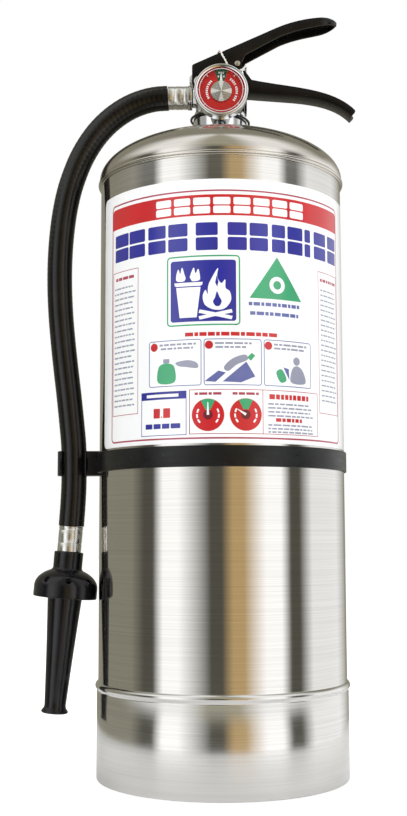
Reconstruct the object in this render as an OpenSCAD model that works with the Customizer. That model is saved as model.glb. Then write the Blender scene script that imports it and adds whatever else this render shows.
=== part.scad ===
// Stored-pressure water fire extinguisher: stainless tank, squeeze valve, gauge, hose and nozzle.
// Origin on the tank's axis at the plane it stands on. +X is the side the handles point to,
// -Y is the front with the gauge and the label, +Z is up. Millimetres.

/* [Tank] */
// Outside diameter of the shell
tank_d = 190; // [150:1:230]
// Height of the seam between shell and top dome
seam_z = 461; // [380:1:560]
// Wall of the shell
shell_wall = 1.2; // [0.8:0.1:2]
// Rise of the top dome above the seam
dome_rise = 37; // [28:1:50]
// Wall of both domes
dome_wall = 1.2; // [0.8:0.1:2]
// Depth of the dome's collar over the shell
dome_collar = 6; // [4:0.5:12]
// Depth of the bottom dome below its own rim
bottom_sag = 32; // [20:1:40]

/* [Foot] */
// Height of the foot skirt up to its bead
skirt_h = 66; // [60:1:90]
// Wall of the skirt
skirt_wall = 1; // [0.8:0.1:2]
// Width of the inturned foot ring
foot_ring_w = 4.5; // [3:0.5:8]
// Height of the rolled bead on top of the skirt
bead_h = 6; // [4:0.5:8]

/* [Neck] */
// Outside diameter of the neck
neck_d = 43; // [41:0.5:46]
// Height of the neck above the dome's crown
neck_rise = 17; // [14:0.5:24]
// Diameter of the valve spigot that screws into the neck
spigot_d = 33; // [31:0.5:34]
// Thread clearance on the radius, thread drawn plain
thread_gap = 0.05; // [0.02:0.01:0.1]

/* [Valve] */
// Radius of the valve barrel
barrel_r = 19.6; // [18:0.1:20.5]
// Height of the hose outlet above the neck's top face
outlet_rise = 18; // [17:0.5:20]
// Radius of the outlet boss
outlet_r = 8; // [7:0.1:8.5]
// Radius of the outlet's threaded port
outlet_port_r = 5.5; // [4.5:0.1:6]
// Thickness of the tongue that carries the levers
tongue_t = 13.6; // [11:0.1:15]
// Height of the tongue's top above the neck's top face
tongue_rise = 37; // [36:0.5:38]
// Diameter of the valve stem
stem_d = 5; // [4:0.1:6]
// Running clearance on the radius of shafts and pins
run_gap = 0.08; // [0.04:0.01:0.1]

/* [Levers] */
// Thickness of the pressed steel of both levers
plate_t = 1.7; // [1.4:0.1:2]
// Free gap between the nested lever walls
nest_gap = 0.35; // [0.3:0.05:0.6]
// Slope of the squeeze lever at rest, degrees
lever_slope = 24; // [22:0.5:25]
// Travel of the squeeze lever, degrees
lever_travel = 14; // [10:0.5:14]
// Reach of the squeeze lever from the tank's axis
lever_reach = 95; // [85:1:110]
// Reach of the carry handle from the tank's axis
handle_reach = 107.5; // [95:1:115]
// Depth of the squeeze lever's grip walls
lever_depth = 7.4; // [6:0.1:9]
// Depth of the carry handle's channel
handle_depth = 10.6; // [8:0.1:12]
// Diameter of the pull pin
pin_d = 4.3; // [3.5:0.1:4.5]
// Diameter of the lever pivot
pivot_d = 5; // [4:0.1:6]
// Inner diameter of the pull ring
ring_inner_d = 26; // [22:1:30]
// Wire diameter of the pull ring
ring_wire_d = 2.2; // [1.6:0.1:2.4]
// Angle that the seal holds the ring at, from hanging straight down
ring_tilt = 35; // [0:1:40]

/* [Gauge] */
// Diameter of the gauge case
gauge_d = 41; // [36:0.5:42]
// Distance of the gauge's front from the tank's axis
gauge_front = 42.5; // [41:0.5:48]
// Depth of the gauge case
gauge_depth = 12; // [11:0.5:13]
// Sideways offset of the gauge port
gauge_x = 1; // [-2:0.5:2]
// Height of the gauge port above the neck's top face
gauge_rise = 9; // [7.5:0.5:9.5]

/* [Hose] */
// Outside diameter of the hose
hose_d = 20; // [16:0.5:20]
// Outside diameter of the crimped ferrules
ferrule_d = 18.4; // [17:0.1:20]
// Length of the lower ferrule
ferrule_len = 20; // [16:0.5:24]
// Bore of the hose tails
tail_bore_d = 8; // [6:0.5:9]

/* [Nozzle] */
// Lean of the nozzle from the vertical, degrees
nozzle_lean = 4.7; // [0:0.1:5]
// Diameter of the nozzle's bell guard
bell_d = 49; // [40:0.5:49.5]
// Height of the bell guard
bell_h = 23; // [18:0.5:28]
// Diameter of the guard's collar
collar_d = 22.4; // [21:0.1:26]
// Length of the guard's collar
collar_h = 12; // [8:0.5:16]
// Top diameter of the nozzle tube
cone_top_d = 28; // [24:0.5:30]
// Bottom diameter of the nozzle tube
cone_tip_d = 16.4; // [14:0.2:20]
// Length of the nozzle tube below the collar
cone_len = 106; // [80:1:112]
// Wall of the nozzle tube
cone_wall = 2.4; // [1.8:0.1:3]
// Wall of the bell guard
bell_wall = 2; // [1.6:0.1:2.4]
// Number of air holes in the bell
bell_holes = 8; // [4:1:10]
// Diameter of the air holes
air_hole_d = 4.6; // [3:0.1:5]

/* [Strap and label] */
// Height of the strap's middle
strap_z = 237; // [150:1:240]
// Width of the strap
strap_w = 15; // [10:1:20]
// Thickness of the strap
strap_t = 1.8; // [1:0.1:2.5]
// Height of the hose clip
clip_h = 19.2; // [18:0.2:30]
// Wall of the hose clip's jaws
clip_wall = 2.6; // [2:0.1:3]
// Height of the label
label_h = 191; // [120:1:195]
// Height of the label's bottom edge
label_z = 246; // [246:1:260]
// Angle of the label's left edge from the front
label_left = 68; // [40:1:75]
// Angle of the label's right edge from the front
label_right = 81; // [40:1:85]
// Thickness of the label
label_t = 0.25; // [0.1:0.05:0.5]

/* [Hidden] */
$fn = 96;
eps = 0.01;
tank_r = tank_d / 2;
crown_z = seam_z + dome_rise;
neck_top = crown_z + neck_rise;
neck_r = neck_d / 2;
spigot_r = spigot_d / 2;
dome_r = tank_r + dome_wall;
skirt_r = tank_r + skirt_wall;
// Lowest edge of the shell, inside the skirt
shell_z = skirt_h - 14;
dome_steps = 24;

// Valve body
flange_h = 4;
flange_r = neck_r - 1;
oring_d = 2.4;
oring_r = spigot_r + oring_d / 2;
barrel_top = neck_top + 20;
outlet_z = neck_top + outlet_rise;
// Faces of the ports, clear of the barrel and of the flange
outlet_end = max(barrel_r + 2, flange_r + 1.1);
gauge_boss_r = 7.3;
gauge_port_r = 4.8;
seat_z = neck_top - 5;
chamber_r = 10;
chamber_z = neck_top - 29;
seat_r = 4.5;
gland_r = 5.4;
gland_z = neck_top + 29;
gland_h = 8.5;
tongue_top = neck_top + tongue_rise;
tongue_left = -24.5;
tongue_right = 12.4;
stem_r = stem_d / 2;
stem_head_r = chamber_r - 2;
stem_head_h = 2;
spring_r = 5.4;
spring_wire_r = 0.7;
spring_turns = 4.5;
nipple_r = 5.6;
nipple_bore_r = 4.2;
nipple_len = 12;

// Lever geometry in the X-Z plane
ear_in = tongue_t / 2 + 0.1;
ear_out = ear_in + plate_t;
wall_in = ear_out + nest_gap;
wall_out = wall_in + plate_t;
pivot_x = -16.5;
pivot_z = neck_top + 27.5;
ear_r = 5;
ear_bottom = neck_top + 22.5;
ear_top = neck_top + 37.5;
ear_right = 19.8;
rivet_r = 2;
rivet_places = [[-9.4, neck_top + 33.4], [9, neck_top + 31]];
// Lower edge of the carry handle, its wall's depth at the far end, and the gap to the valve
handle_steps = 20;
handle_low = curve(
    [24.3, neck_top + 19.1], [58, neck_top + 15.4],
    [handle_reach - 19, neck_top + 17.2], [handle_reach - 2.6, neck_top - 0.9], handle_steps);
handle_tip = 5.4;
handle_gap = 0.2;
lever_left = -22.3;
lever_corner = 3;
lever_root_r = 5.8;
lever_top0 = neck_top + 51.6;
slope = tan(lever_slope);
bend_x = 45;
grip_x = 17.6;
grip_step = 3.4;
pin_x = 14.1;
pin_z = neck_top + 42;
pin_reach = hypot(pin_x - pivot_x, pin_z - pivot_z);
pin_angle = atan2(pin_z - pivot_z, pin_x - pivot_x);
pin_slot_r = pin_d / 2 + 0.3;
pin_front = wall_out + 1.6;
// The ring hangs behind the barrel and clears it
eye_y = barrel_r + 1.7;
eye_r = 3.2;
eye_t = 2.4;
ring_r = (ring_inner_d + ring_wire_d) / 2;
web_drop = plate_t / cos(lever_slope);
// The stem's round tip stays a contact gap below the sloping web
tip_gap = 0.3;
stem_top = lever_top0 - web_drop - (stem_r + tip_gap) / cos(lever_slope) + stem_r;
stem_head_z = seat_z - 5;
lever_top = concat(
    [lever_line(lever_left + lever_corner), lever_line(grip_x)],
    curve(lever_line(bend_x), [60, neck_top + 78.3],
        [lever_reach - 17, neck_top + 81.6], [lever_reach, neck_top + 80], 16));
// The far end is a pointed arch, seen from above
arch_c = 5;
arch_x = lever_reach - sqrt(pow(wall_out + arch_c, 2) - pow(arch_c, 2));

// Gauge
gauge_r = gauge_d / 2;
gauge_z = neck_top + gauge_rise;
gauge_back = gauge_front - gauge_depth;
gasket_t = 1.2;
case_wall = 0.8;
dial_y = gauge_front - 4.6;
dial_t = 0.5;
needle_y = dial_y + 0.9;
lens_y = gauge_front - 1.6;
hub_r = 8.2;

// Hose couplings
washer_t = 0.8;
hex_h = 3.5;
hex_flats = 18;
hex_x = outlet_end + washer_t;
hex_r = hex_flats / 2 / cos(30);
ferrule_x = hex_x + hex_h;
tail_r = ferrule_d / 2 - 3;

// Hose route, X and Z, from the upper ferrule's mouth to the lower one's
hose_route = [
    [-42, 533], [-52, 532.3], [-62, 530], [-72, 526], [-81.5, 520.3], [-90.5, 513],
    [-98.8, 504], [-106, 493.6], [-112.2, 482], [-117.3, 469], [-121.5, 455], [-124.8, 438],
    [-127, 419], [-128.1, 399], [-128.1, 378], [-127, 356], [-125, 334], [-122.5, 312],
    [-119.8, 290], [-117.4, 268], [-115.8, 250], [-115.4, 226], [-116, 207], [-117.2, 189]
];
hose_sides = 12;
hose_end = hose_route[len(hose_route) - 1];
ferrule_top_len = -hose_route[0][0] - ferrule_x;

// Bell guard, heights along the nozzle's own axis below the hose's end
shoulder_h = bell_h * 0.66;
bell_rim = -ferrule_len - collar_h - bell_h;
shoulder_z = bell_rim + bell_h - shoulder_h;
bell_outer = dome_arc(bell_d / 2, shoulder_z, shoulder_h, collar_d / 2);
bell_inner = dome_arc(bell_d / 2 - bell_wall, shoulder_z, shoulder_h - bell_wall, cone_top_d / 2 + 0.1);
// Roof inside the bell, where the nozzle tube ends
roof_z = bell_inner[dome_steps][1];

// Hose clip, centred on the hose where the strap passes
clip_x = -115.5;
clip_gap = 0.2;
clip_in = hose_d / 2 + clip_gap;
clip_out = clip_in + clip_wall;
clip_open = 52;
strap_in = tank_r + 0.02;
strap_out = strap_in + strap_t;
buckle_w = 22;
buckle_t = 4.5;

// Seal strap round the squeeze lever and through the ring, X, Y and height above the neck's top
seal_r = 0.8;
seal_y = wall_out + 1.3;
seal_route = [
    [-2, seal_y, 47], [-3, seal_y - 0.2, 52.2], [-2, 6, 53.6], [-1, -6, 54], [0.5, -seal_y + 0.4, 53],
    [1.8, -seal_y, 49.5], [4.2, -seal_y, 45], [6.8, -seal_y, 40], [11, -seal_y, 36], [17, -seal_y, 36.4],
    [20.4, -seal_y + 2.6, 40.2], [21, -6, 41.6], [21, 6, 41.6], [22.5, eye_y - 6, 41], [23, eye_y - 1, 43],
    [20, eye_y + 3.4, 46], [14, eye_y + 4.6, 47.6], [8.5, eye_y + 3, 45], [6.5, eye_y, 40.8],
    [3, eye_y - 5, 41], [0, seal_y + 0.4, 43]
];

// Service collar hanging askew round the neck
service_in = neck_r + 0.8;
service_out = service_in + 1.8;
service_t = 1.3;
service_tilt = 4;
service_z = neck_top - 2.5;

black = [0.06, 0.06, 0.065];
steel = [0.72, 0.71, 0.69];
chrome_c = [0.83, 0.84, 0.85];
brass_c = [0.78, 0.66, 0.38];
rubber_c = [0.1, 0.1, 0.1];

function hypot(a, b) = sqrt(a * a + b * b);
// Quarter-ellipse from radius r0 at height z0, rising by h towards the axis, cut off at radius r1
function dome_arc(r0, z0, h, r1) =
    [for (i = [0 : dome_steps]) let (a = i / dome_steps * acos(r1 / r0)) [r0 * cos(a), z0 + h * sin(a)]];
function reversed(list) = [for (i = [len(list) - 1 : -1 : 0]) list[i]];
// Cubic curve through its two end points
function cubic(a, b, c, d, t) =
    pow(1 - t, 3) * a + 3 * t * pow(1 - t, 2) * b + 3 * t * t * (1 - t) * c + t * t * t * d;
function curve(a, b, c, d, n) = [for (i = [0 : n]) cubic(a, b, c, d, i / n)];
function unit(v) = v / norm(v);
function dir_at(p, i) = unit(p[min(i + 1, len(p) - 1)] - p[max(i - 1, 0)]);
function lever_line(x) = [x, lever_top0 + slope * x];
// The outline p moved sideways by d, in the plane
function shifted(p, d) = [for (i = [0 : len(p) - 1]) p[i] + d * [-dir_at(p, i)[1], dir_at(p, i)[0]]];
// Rings of points round a route in space
function ring_at(p, t, r, n, up) =
    let (side = unit(cross(t, up)), rise = cross(side, t))
    [for (k = [0 : n - 1]) p + r * (cos(360 * k / n) * side + sin(360 * k / n) * rise)];
function loop_dir(p, i) = unit(p[(i + 1) % len(p)] - p[(i + len(p) - 1) % len(p)]);
function skin(rings, n, closed) =
    [for (i = [0 : rings - (closed ? 1 : 2)], k = [0 : n - 1])
        [i * n + k, i * n + (k + 1) % n, ((i + 1) % rings) * n + (k + 1) % n, ((i + 1) % rings) * n + k]];

// A solid tube along a route, its flat ends square to start_dir and end_dir
module swept(route, r, n, up, start_dir, end_dir) {
    last = len(route) - 1;
    dirs = concat([start_dir], [for (i = [1 : last - 1]) dir_at(route, i)], [end_dir]);
    rings = [for (i = [0 : last]) each ring_at(route[i], dirs[i], r, n, up)];
    caps = [[for (k = [n - 1 : -1 : 0]) k], [for (k = [0 : n - 1]) last * n + k]];
    polyhedron(rings, concat(skin(len(route), n, false), caps), convexity = 8);
}

// A solid ring of wire along a closed route
module swept_loop(route, r, n, up) {
    rings = [for (i = [0 : len(route) - 1]) each ring_at(route[i], loop_dir(route, i), r, n, up)];
    polyhedron(rings, skin(len(route), n, true), convexity = 8);
}

module tube(r_out, r_in, h) {
    difference() {
        cylinder(r = r_out, h = h);
        translate([0, 0, -eps]) cylinder(r = r_in, h = h + 2 * eps);
    }
}

// A plate in the X-Z plane, y0 to y1
module plate(points, y0, y1) {
    translate([0, y1, 0]) rotate([90, 0, 0]) linear_extrude(y1 - y0) polygon(points);
}

// A round bar along Y
module bar_y(x, z, r, y0, y1) {
    translate([x, y1, z]) rotate([90, 0, 0]) cylinder(r = r, h = y1 - y0);
}

// A round bar along X
module bar_x(z, r, x0, x1) {
    translate([x0, 0, z]) rotate([0, 90, 0]) cylinder(r = r, h = x1 - x0);
}

// ---- Tank ----
module tank_shell() {
    color(steel) translate([0, 0, shell_z]) tube(tank_r, tank_r - shell_wall, seam_z - 1 - shell_z);
}

module top_dome() {
    outer = dome_arc(dome_r, seam_z, dome_rise, neck_r);
    inner = dome_arc(tank_r, seam_z, dome_rise - dome_wall, neck_r);
    collar_z = seam_z - dome_collar;
    color(steel) rotate_extrude()
        polygon(concat([[dome_r, collar_z]], outer, reversed(inner), [[tank_r, collar_z]]));
}

module bottom_dome() {
    rim_r = tank_r - shell_wall;
    outer = [for (p = dome_arc(rim_r, 0, bottom_sag, 0)) [p[0], shell_z + 2 - p[1]]];
    inner = [for (p = dome_arc(rim_r - dome_wall, 0, bottom_sag - dome_wall, 0)) [p[0], shell_z + 2 - p[1]]];
    rim = [[rim_r, shell_z + 12], [rim_r - dome_wall, shell_z + 12]];
    color(steel) rotate_extrude() polygon(concat(rim, inner, reversed(outer)));
}

module foot_skirt() {
    bead_r = bead_h / 2;
    color(steel) rotate_extrude() difference() {
        union() {
            translate([tank_r, 0]) square([skirt_wall, skirt_h + bead_h]);
            translate([skirt_r - foot_ring_w, 0]) square([foot_ring_w, skirt_wall]);
            intersection() {
                translate([skirt_r - bead_r + 1.2, skirt_h + bead_r]) circle(r = bead_r, $fn = 48);
                translate([tank_r, skirt_h]) square([bead_h, bead_h]);
            }
        }
        // Dark line pressed in below the bead
        translate([skirt_r, skirt_h - 0.8]) circle(r = 0.45, $fn = 24);
    }
}

module oring_ring() {
    translate([0, 0, neck_top]) rotate_extrude() translate([oring_r, 0]) circle(d = oring_d, $fn = 32);
}

module neck() {
    color(chrome_c) difference() {
        translate([0, 0, crown_z - 8]) cylinder(r = neck_r, h = neck_rise + 8);
        translate([0, 0, crown_z - 9]) cylinder(r = spigot_r + thread_gap, h = neck_rise + 10);
        oring_ring();
    }
}

module neck_oring() {
    color(rubber_c) intersection() {
        oring_ring();
        translate([0, 0, neck_top - oring_d]) cylinder(r = neck_r, h = oring_d);
    }
}

module label() {
    color("white") translate([0, 0, label_z]) rotate([0, 0, 270 - label_left])
        rotate_extrude(angle = label_left + label_right)
            translate([tank_r + 0.02, 0]) square([label_t, label_h]);
}

// ---- Valve ----
module valve_body() {
    barrel_z = neck_top + flange_h - 1;
    notch_z = outlet_z + hex_r + 1;
    color(chrome_c) difference() {
        union() {
            // Spigot, flange and barrel
            translate([0, 0, chamber_z]) cylinder(r = spigot_r, h = neck_top - chamber_z + 1);
            translate([0, 0, neck_top]) cylinder(r = flange_r, h = flange_h);
            translate([0, 0, barrel_z]) cylinder(r = barrel_r, h = barrel_top - barrel_z);
            // Outlet boss and gauge boss
            bar_x(outlet_z, outlet_r, -outlet_end, 0);
            bar_y(gauge_x, gauge_z, gauge_boss_r, -outlet_end, 0);
            // Tongue for the levers, notched above the hose coupling
            plate([
                [tongue_left, notch_z], [tongue_left, tongue_top - 4], [tongue_left + 4, tongue_top],
                [tongue_right, tongue_top], [tongue_right, barrel_top - 2], [tongue_left + 6, barrel_top - 2],
                [-outlet_end + 0.4, barrel_top + 2], [-outlet_end + 0.4, notch_z]
            ], -tongue_t / 2, tongue_t / 2);
        }
        // Chamber, seat bore and stem guide
        translate([0, 0, chamber_z - eps]) cylinder(r = chamber_r, h = seat_z - chamber_z + eps);
        translate([0, 0, seat_z - eps]) cylinder(r = seat_r, h = outlet_z + 6 - seat_z);
        cylinder(r = stem_r + run_gap, h = tongue_top + 1);
        translate([0, 0, gland_z]) cylinder(r = gland_r, h = tongue_top - gland_z + 1);
        // Outlet port and gauge port
        bar_x(outlet_z, outlet_port_r, -outlet_end - 1, 0);
        bar_y(gauge_x, gauge_z, gauge_port_r, -outlet_end - 1, -11.5);
        translate([gauge_x, -13.2, chamber_z - 1]) cylinder(r = 1.4, h = gauge_z - chamber_z);
        // Pivot and rivet holes
        bar_y(pivot_x, pivot_z, pivot_d / 2, -tongue_t, tongue_t);
        for (p = rivet_places) bar_y(p[0], p[1], rivet_r, -tongue_t, tongue_t);
    }
}

module valve_stem() {
    color(brass_c) {
        translate([0, 0, stem_head_z]) cylinder(r = stem_head_r, h = stem_head_h);
        translate([0, 0, stem_head_z]) cylinder(r = stem_r, h = stem_top - stem_r - stem_head_z);
        translate([0, 0, stem_top - stem_r]) sphere(r = stem_r, $fn = 48);
        // Spring pilot
        translate([0, 0, stem_head_z - 4]) cylinder(r = 3.6, h = 4);
    }
}

module stem_seal() {
    bottom = stem_head_z + stem_head_h;
    color(rubber_c) translate([0, 0, bottom]) tube(stem_head_r - 0.2, stem_r, seat_z - 0.05 - bottom);
}

module stem_gland() {
    color(brass_c) translate([0, 0, gland_z + 2]) tube(gland_r, stem_r + run_gap, gland_h);
}

module stem_oring() {
    color(rubber_c) translate([0, 0, gland_z]) tube(gland_r, stem_r + run_gap, 2);
}

module stem_spring() {
    low = chamber_z + 6 + spring_wire_r;
    high = stem_head_z - spring_wire_r - 0.05;
    steps = 72;
    route = [for (i = [0 : steps]) let (a = 360 * spring_turns * i / steps)
        [spring_r * cos(a), spring_r * sin(a), low + (high - low) * i / steps]];
    color(steel) swept(route, spring_wire_r, 8, [0, 0, 1], dir_at(route, 0), dir_at(route, steps));
}

module siphon_nipple() {
    color(brass_c) difference() {
        union() {
            translate([0, 0, chamber_z]) cylinder(r = chamber_r - thread_gap, h = 6);
            translate([0, 0, chamber_z - 4]) cylinder(r = chamber_r + 1, h = 4);
            translate([0, 0, chamber_z - 4 - nipple_len]) cylinder(r = nipple_r, h = nipple_len + 1);
        }
        translate([0, 0, chamber_z - 5 - nipple_len]) cylinder(r = nipple_bore_r, h = nipple_len + 20);
    }
}

module siphon_tube() {
    bottom = shell_z + 2 - bottom_sag + dome_wall + 8;
    color("white") translate([0, 0, bottom]) tube(nipple_r + 1.6, nipple_r, chamber_z - 4 - bottom);
}

// ---- Carry handle ----
// Depth of the side walls, shallower towards the far end
function handle_wall(i) = handle_tip + (handle_depth - handle_tip) * pow(1 - i / handle_steps, 2);
// The lower edge moved square to itself, up by d
function over_low(i, d) = handle_low[i] + d * [-dir_at(handle_low, i)[1], dir_at(handle_low, i)[0]];

module handle_side(y0, y1) {
    corner = over_low(handle_steps, handle_tip);
    wall_top = concat(
        [for (i = [0 : handle_steps - 2]) over_low(i, handle_wall(i))],
        curve(over_low(handle_steps - 1, handle_wall(handle_steps - 1)), corner,
            corner, over_low(handle_steps, plate_t), 6));
    difference() {
        union() {
            plate(concat(handle_low, reversed(wall_top)), y0, y1);
            plate([
                [pivot_x, ear_bottom], [ear_right, ear_bottom], [ear_right, handle_low[0][1]], handle_low[0],
                wall_top[0], [21, ear_top - 1.5], [20, ear_top],
                [pivot_x, ear_top - 5]
            ], y0, y1);
            bar_y(pivot_x, pivot_z, ear_r, y0, y1);
        }
        bar_y(pivot_x, pivot_z, pivot_d / 2, y0 - 1, y1 + 1);
        for (p = rivet_places) bar_y(p[0], p[1], rivet_r, y0 - 1, y1 + 1);
        pin_way(y0 - 1, y1 + 1);
    }
}

// Way for the pull pin as the lever carries it down, open upwards
module pin_way(y0, y1) {
    low_angle = pin_angle - lever_travel;
    far = pin_reach * 2;
    bar_y(pivot_x + pin_reach * cos(low_angle), pivot_z + pin_reach * sin(low_angle), pin_slot_r, y0, y1);
    intersection() {
        difference() {
            bar_y(pivot_x, pivot_z, pin_reach + pin_slot_r, y0, y1);
            bar_y(pivot_x, pivot_z, pin_reach - pin_slot_r, y0 - 1, y1 + 1);
        }
        translate([pivot_x, 0, pivot_z]) plate([
            [0, 0], [far * cos(low_angle), far * sin(low_angle)],
            [far * cos(pin_angle + 15), far * sin(pin_angle + 15)]
        ], y0, y1);
    }
}

module carry_handle() {
    tab_top = handle_low[0][1] + 1;
    tab_low = neck_top + flange_h + 0.6;
    tab_left = barrel_r + handle_gap;
    color(black) {
        handle_side(-ear_out, -ear_in);
        handle_side(ear_in, ear_out);
        plate(concat(handle_low, reversed(shifted(handle_low, plate_t))), -ear_in, ear_in);
        // Web's near end, turned down against the valve
        plate([
            [tab_left, tab_top], [tab_left, handle_low[0][1]], handle_low[0], handle_low[0] + [0.2, plate_t]
        ], -ear_in, ear_in);
        plate([
            [tab_left, tab_top], [tab_left, tab_low],
            [tab_left + plate_t, tab_low], [tab_left + plate_t, tab_top]
        ], -ear_in, ear_in);
    }
}

module handle_rivets() {
    color(steel) for (p = rivet_places) bar_y(p[0], p[1], rivet_r, -ear_out, ear_out);
}

// ---- Squeeze lever ----
// Depth of the side walls along the top line, shallower towards the tip
function wall_depth(i) =
    lever_depth - (lever_depth - 2.4) * pow(max(0, i - 4) / (len(lever_top) - 5), 4);
// The top line moved square to itself, down by d
function under_lever(i, d) = lever_top[i] + d * [dir_at(lever_top, i)[1], -dir_at(lever_top, i)[0]];

module lever_outline(y0, y1) {
    low = [for (i = [2 : len(lever_top) - 1]) under_lever(i, wall_depth(i))];
    corner = lever_line(lever_left);
    // Root cheeks, deeper than the grip
    step_x = grip_x + grip_step;
    low_step = [[step_x, lever_line(step_x)[1] - lever_depth / cos(lever_slope) - 2.5]];
    cheek = [
        [grip_x, neck_top + 44.2], [grip_x, neck_top + 35.4],
        [pivot_x + 2.2, pivot_z - lever_root_r + 0.4], [lever_left, pivot_z]
    ];
    round = curve(corner - [0, lever_corner], corner, corner, lever_top[0], 5);
    near_end = [for (i = [0 : 4]) round[i]];
    plate(concat(lever_top, reversed(low), low_step, cheek, near_end), y0, y1);
    bar_y(pivot_x, pivot_z, lever_root_r, y0, y1);
}

// One side of the pointed arch, from the straight wall to the tip
function arch_side(half) =
    let (r = half + arch_c, end = acos(arch_c / r))
    [for (i = [0 : 10]) let (a = end * i / 10) [arch_x + r * sin(a), arch_c - r * cos(a)]];

// Everything within the lever's plan, drawn in all round by inset
module lever_plan(inset) {
    side = arch_side(wall_out - inset);
    far_side = [for (i = [9 : -1 : 0]) [side[i][0], -side[i][1]]];
    translate([0, 0, neck_top]) linear_extrude(120)
        polygon(concat([[-60, side[0][1]]], side, far_side, [[-60, -side[0][1]]]));
}

// Hollow of the channel, open below, closed by the lip round the tip
module lever_hollow() {
    under = [for (i = [0 : len(lever_top) - 1]) under_lever(i, plate_t)];
    start = [-60, under[0][1] - slope * (60 + under[0][0])];
    intersection() {
        plate(concat([start], under, [[lever_reach, neck_top], [start[0], neck_top]]), -wall_in, wall_in);
        lever_plan(plate_t);
    }
}

module squeeze_lever() {
    color(black) difference() {
        intersection() {
            lever_outline(-wall_out, wall_out);
            lever_plan(0);
        }
        lever_hollow();
        bar_y(pivot_x, pivot_z, pivot_d / 2 + run_gap, -wall_out - 1, wall_out + 1);
        bar_y(pin_x, pin_z, pin_d / 2 + run_gap, -wall_out - 1, wall_out + 1);
    }
}

module lever_pivot() {
    head = 1.4;
    color(chrome_c) {
        bar_y(pivot_x, pivot_z, pivot_d / 2, -wall_out - nest_gap - head, wall_out + nest_gap + head);
        bar_y(pivot_x, pivot_z, pivot_d / 2 + 1.8, wall_out + nest_gap, wall_out + nest_gap + head);
        bar_y(pivot_x, pivot_z, pivot_d / 2 + 1.8, -wall_out - nest_gap - head, -wall_out - nest_gap);
    }
}

// ---- Pull pin, ring, seal ----
module at_eye() {
    translate([pin_x, eye_y, pin_z]) rotate([0, ring_tilt, 0]) children();
}

module pull_pin() {
    color(brass_c) difference() {
        union() {
            bar_y(pin_x, pin_z, pin_d / 2, -pin_front, eye_y);
            at_eye() rotate([0, 90, 0]) cylinder(r = eye_r, h = eye_t, center = true);
        }
        at_eye() {
            rotate([0, 90, 0]) cylinder(r = ring_wire_d / 2 + 0.3, h = 8, center = true);
            // Flats beside the eye
            for (s = [-1, 1]) translate([s * (eye_t / 2 + 4), 0, 0])
                cube([8, 2 * eye_r + 1.6, 2 * eye_r + 2], center = true);
        }
    }
}

module pull_ring() {
    color(steel) at_eye() translate([0, 0, -ring_r]) rotate([90, 0, 0])
        rotate_extrude() translate([ring_r, 0]) circle(d = ring_wire_d, $fn = 32);
}

module tamper_seal() {
    color("white") translate([0, 0, neck_top]) swept_loop(seal_route, seal_r, 8, [0.31, 0.2, 0.93]);
}

module service_collar() {
    color(black) translate([0, 0, service_z]) rotate([0, service_tilt, 0])
        translate([0, 0, -service_t / 2]) tube(service_out, service_in, service_t);
}

// ---- Gauge, built along -Y ----
module gauge_place(y) {
    translate([gauge_x, -y, gauge_z]) rotate([90, 0, 0]) children();
}

module gauge_socket() {
    color(brass_c) difference() {
        union() {
            gauge_place(12.5) cylinder(r = gauge_port_r - thread_gap, h = gauge_back - 12.5 + 1.5);
            // Hexagon with a flat side down, clear of the service collar
            gauge_place(outlet_end + gasket_t) rotate([0, 0, 30])
                cylinder(r = 7.6, h = gauge_back - outlet_end - gasket_t, $fn = 6);
        }
        gauge_place(12) cylinder(r = 1.6, h = gauge_back - 12.5);
    }
}

module gauge_gasket() {
    color(rubber_c) gauge_place(outlet_end) tube(gauge_boss_r - 0.4, gauge_port_r, gasket_t);
}

module gauge_case() {
    color(chrome_c) gauge_place(gauge_back) difference() {
        cylinder(r = gauge_r, h = gauge_depth - 3);
        translate([0, 0, case_wall]) cylinder(r = gauge_r - case_wall, h = gauge_depth);
        translate([0, 0, -1]) cylinder(r = gauge_port_r, h = 3);
    }
}

module gauge_bezel() {
    color(chrome_c) gauge_place(gauge_front - 3) difference() {
        union() {
            cylinder(r = gauge_r + 0.5, h = 2);
            translate([0, 0, 2]) cylinder(r1 = gauge_r + 0.5, r2 = gauge_r - 0.5, h = 1);
        }
        translate([0, 0, -1]) cylinder(r = gauge_r - 1.8, h = 5);
        translate([0, 0, -1]) cylinder(r = gauge_r - 0.9, h = 3.4);
    }
}

module gauge_dial() {
    color("firebrick") gauge_place(dial_y - dial_t) tube(gauge_r - case_wall - 0.1, 2, dial_t);
}

// Flat spiral of pressure tube behind the dial
module bourdon_tube() {
    turns = 2.6;
    steps = 64;
    route = [for (i = [0 : steps]) let (a = 360 * turns * i / steps, r = 5.6 + 7 * i / steps)
        [r * cos(a), r * sin(a), 0]];
    color(brass_c) gauge_place(gauge_back + 3.4)
        swept(route, 0.9, 8, [0, 0, 1], dir_at(route, 0), dir_at(route, steps));
}

module gauge_pivot() {
    color(steel) gauge_place(gauge_back + 1.6) cylinder(r = 1, h = needle_y + 0.5 - gauge_back - 1.6);
}

module gauge_needle() {
    bore = 1 + run_gap;
    color(chrome_c) gauge_place(needle_y - 0.5) difference() {
        union() {
            cylinder(r = hub_r, h = 0.6);
            translate([0, 0, 0.6]) cylinder(r1 = hub_r, r2 = 2, h = 0.9);
            linear_extrude(0.5)
                polygon([[-1.3, hub_r - 1], [1.3, hub_r - 1], [0.5, hub_r + 6], [-0.5, hub_r + 6]]);
        }
        translate([0, 0, -1]) cylinder(r = bore, h = 2.1);
    }
}

module gauge_lens() {
    color([0.9, 0.95, 1, 0.35]) gauge_place(lens_y) cylinder(r = gauge_r - 1, h = 0.9);
}

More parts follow.
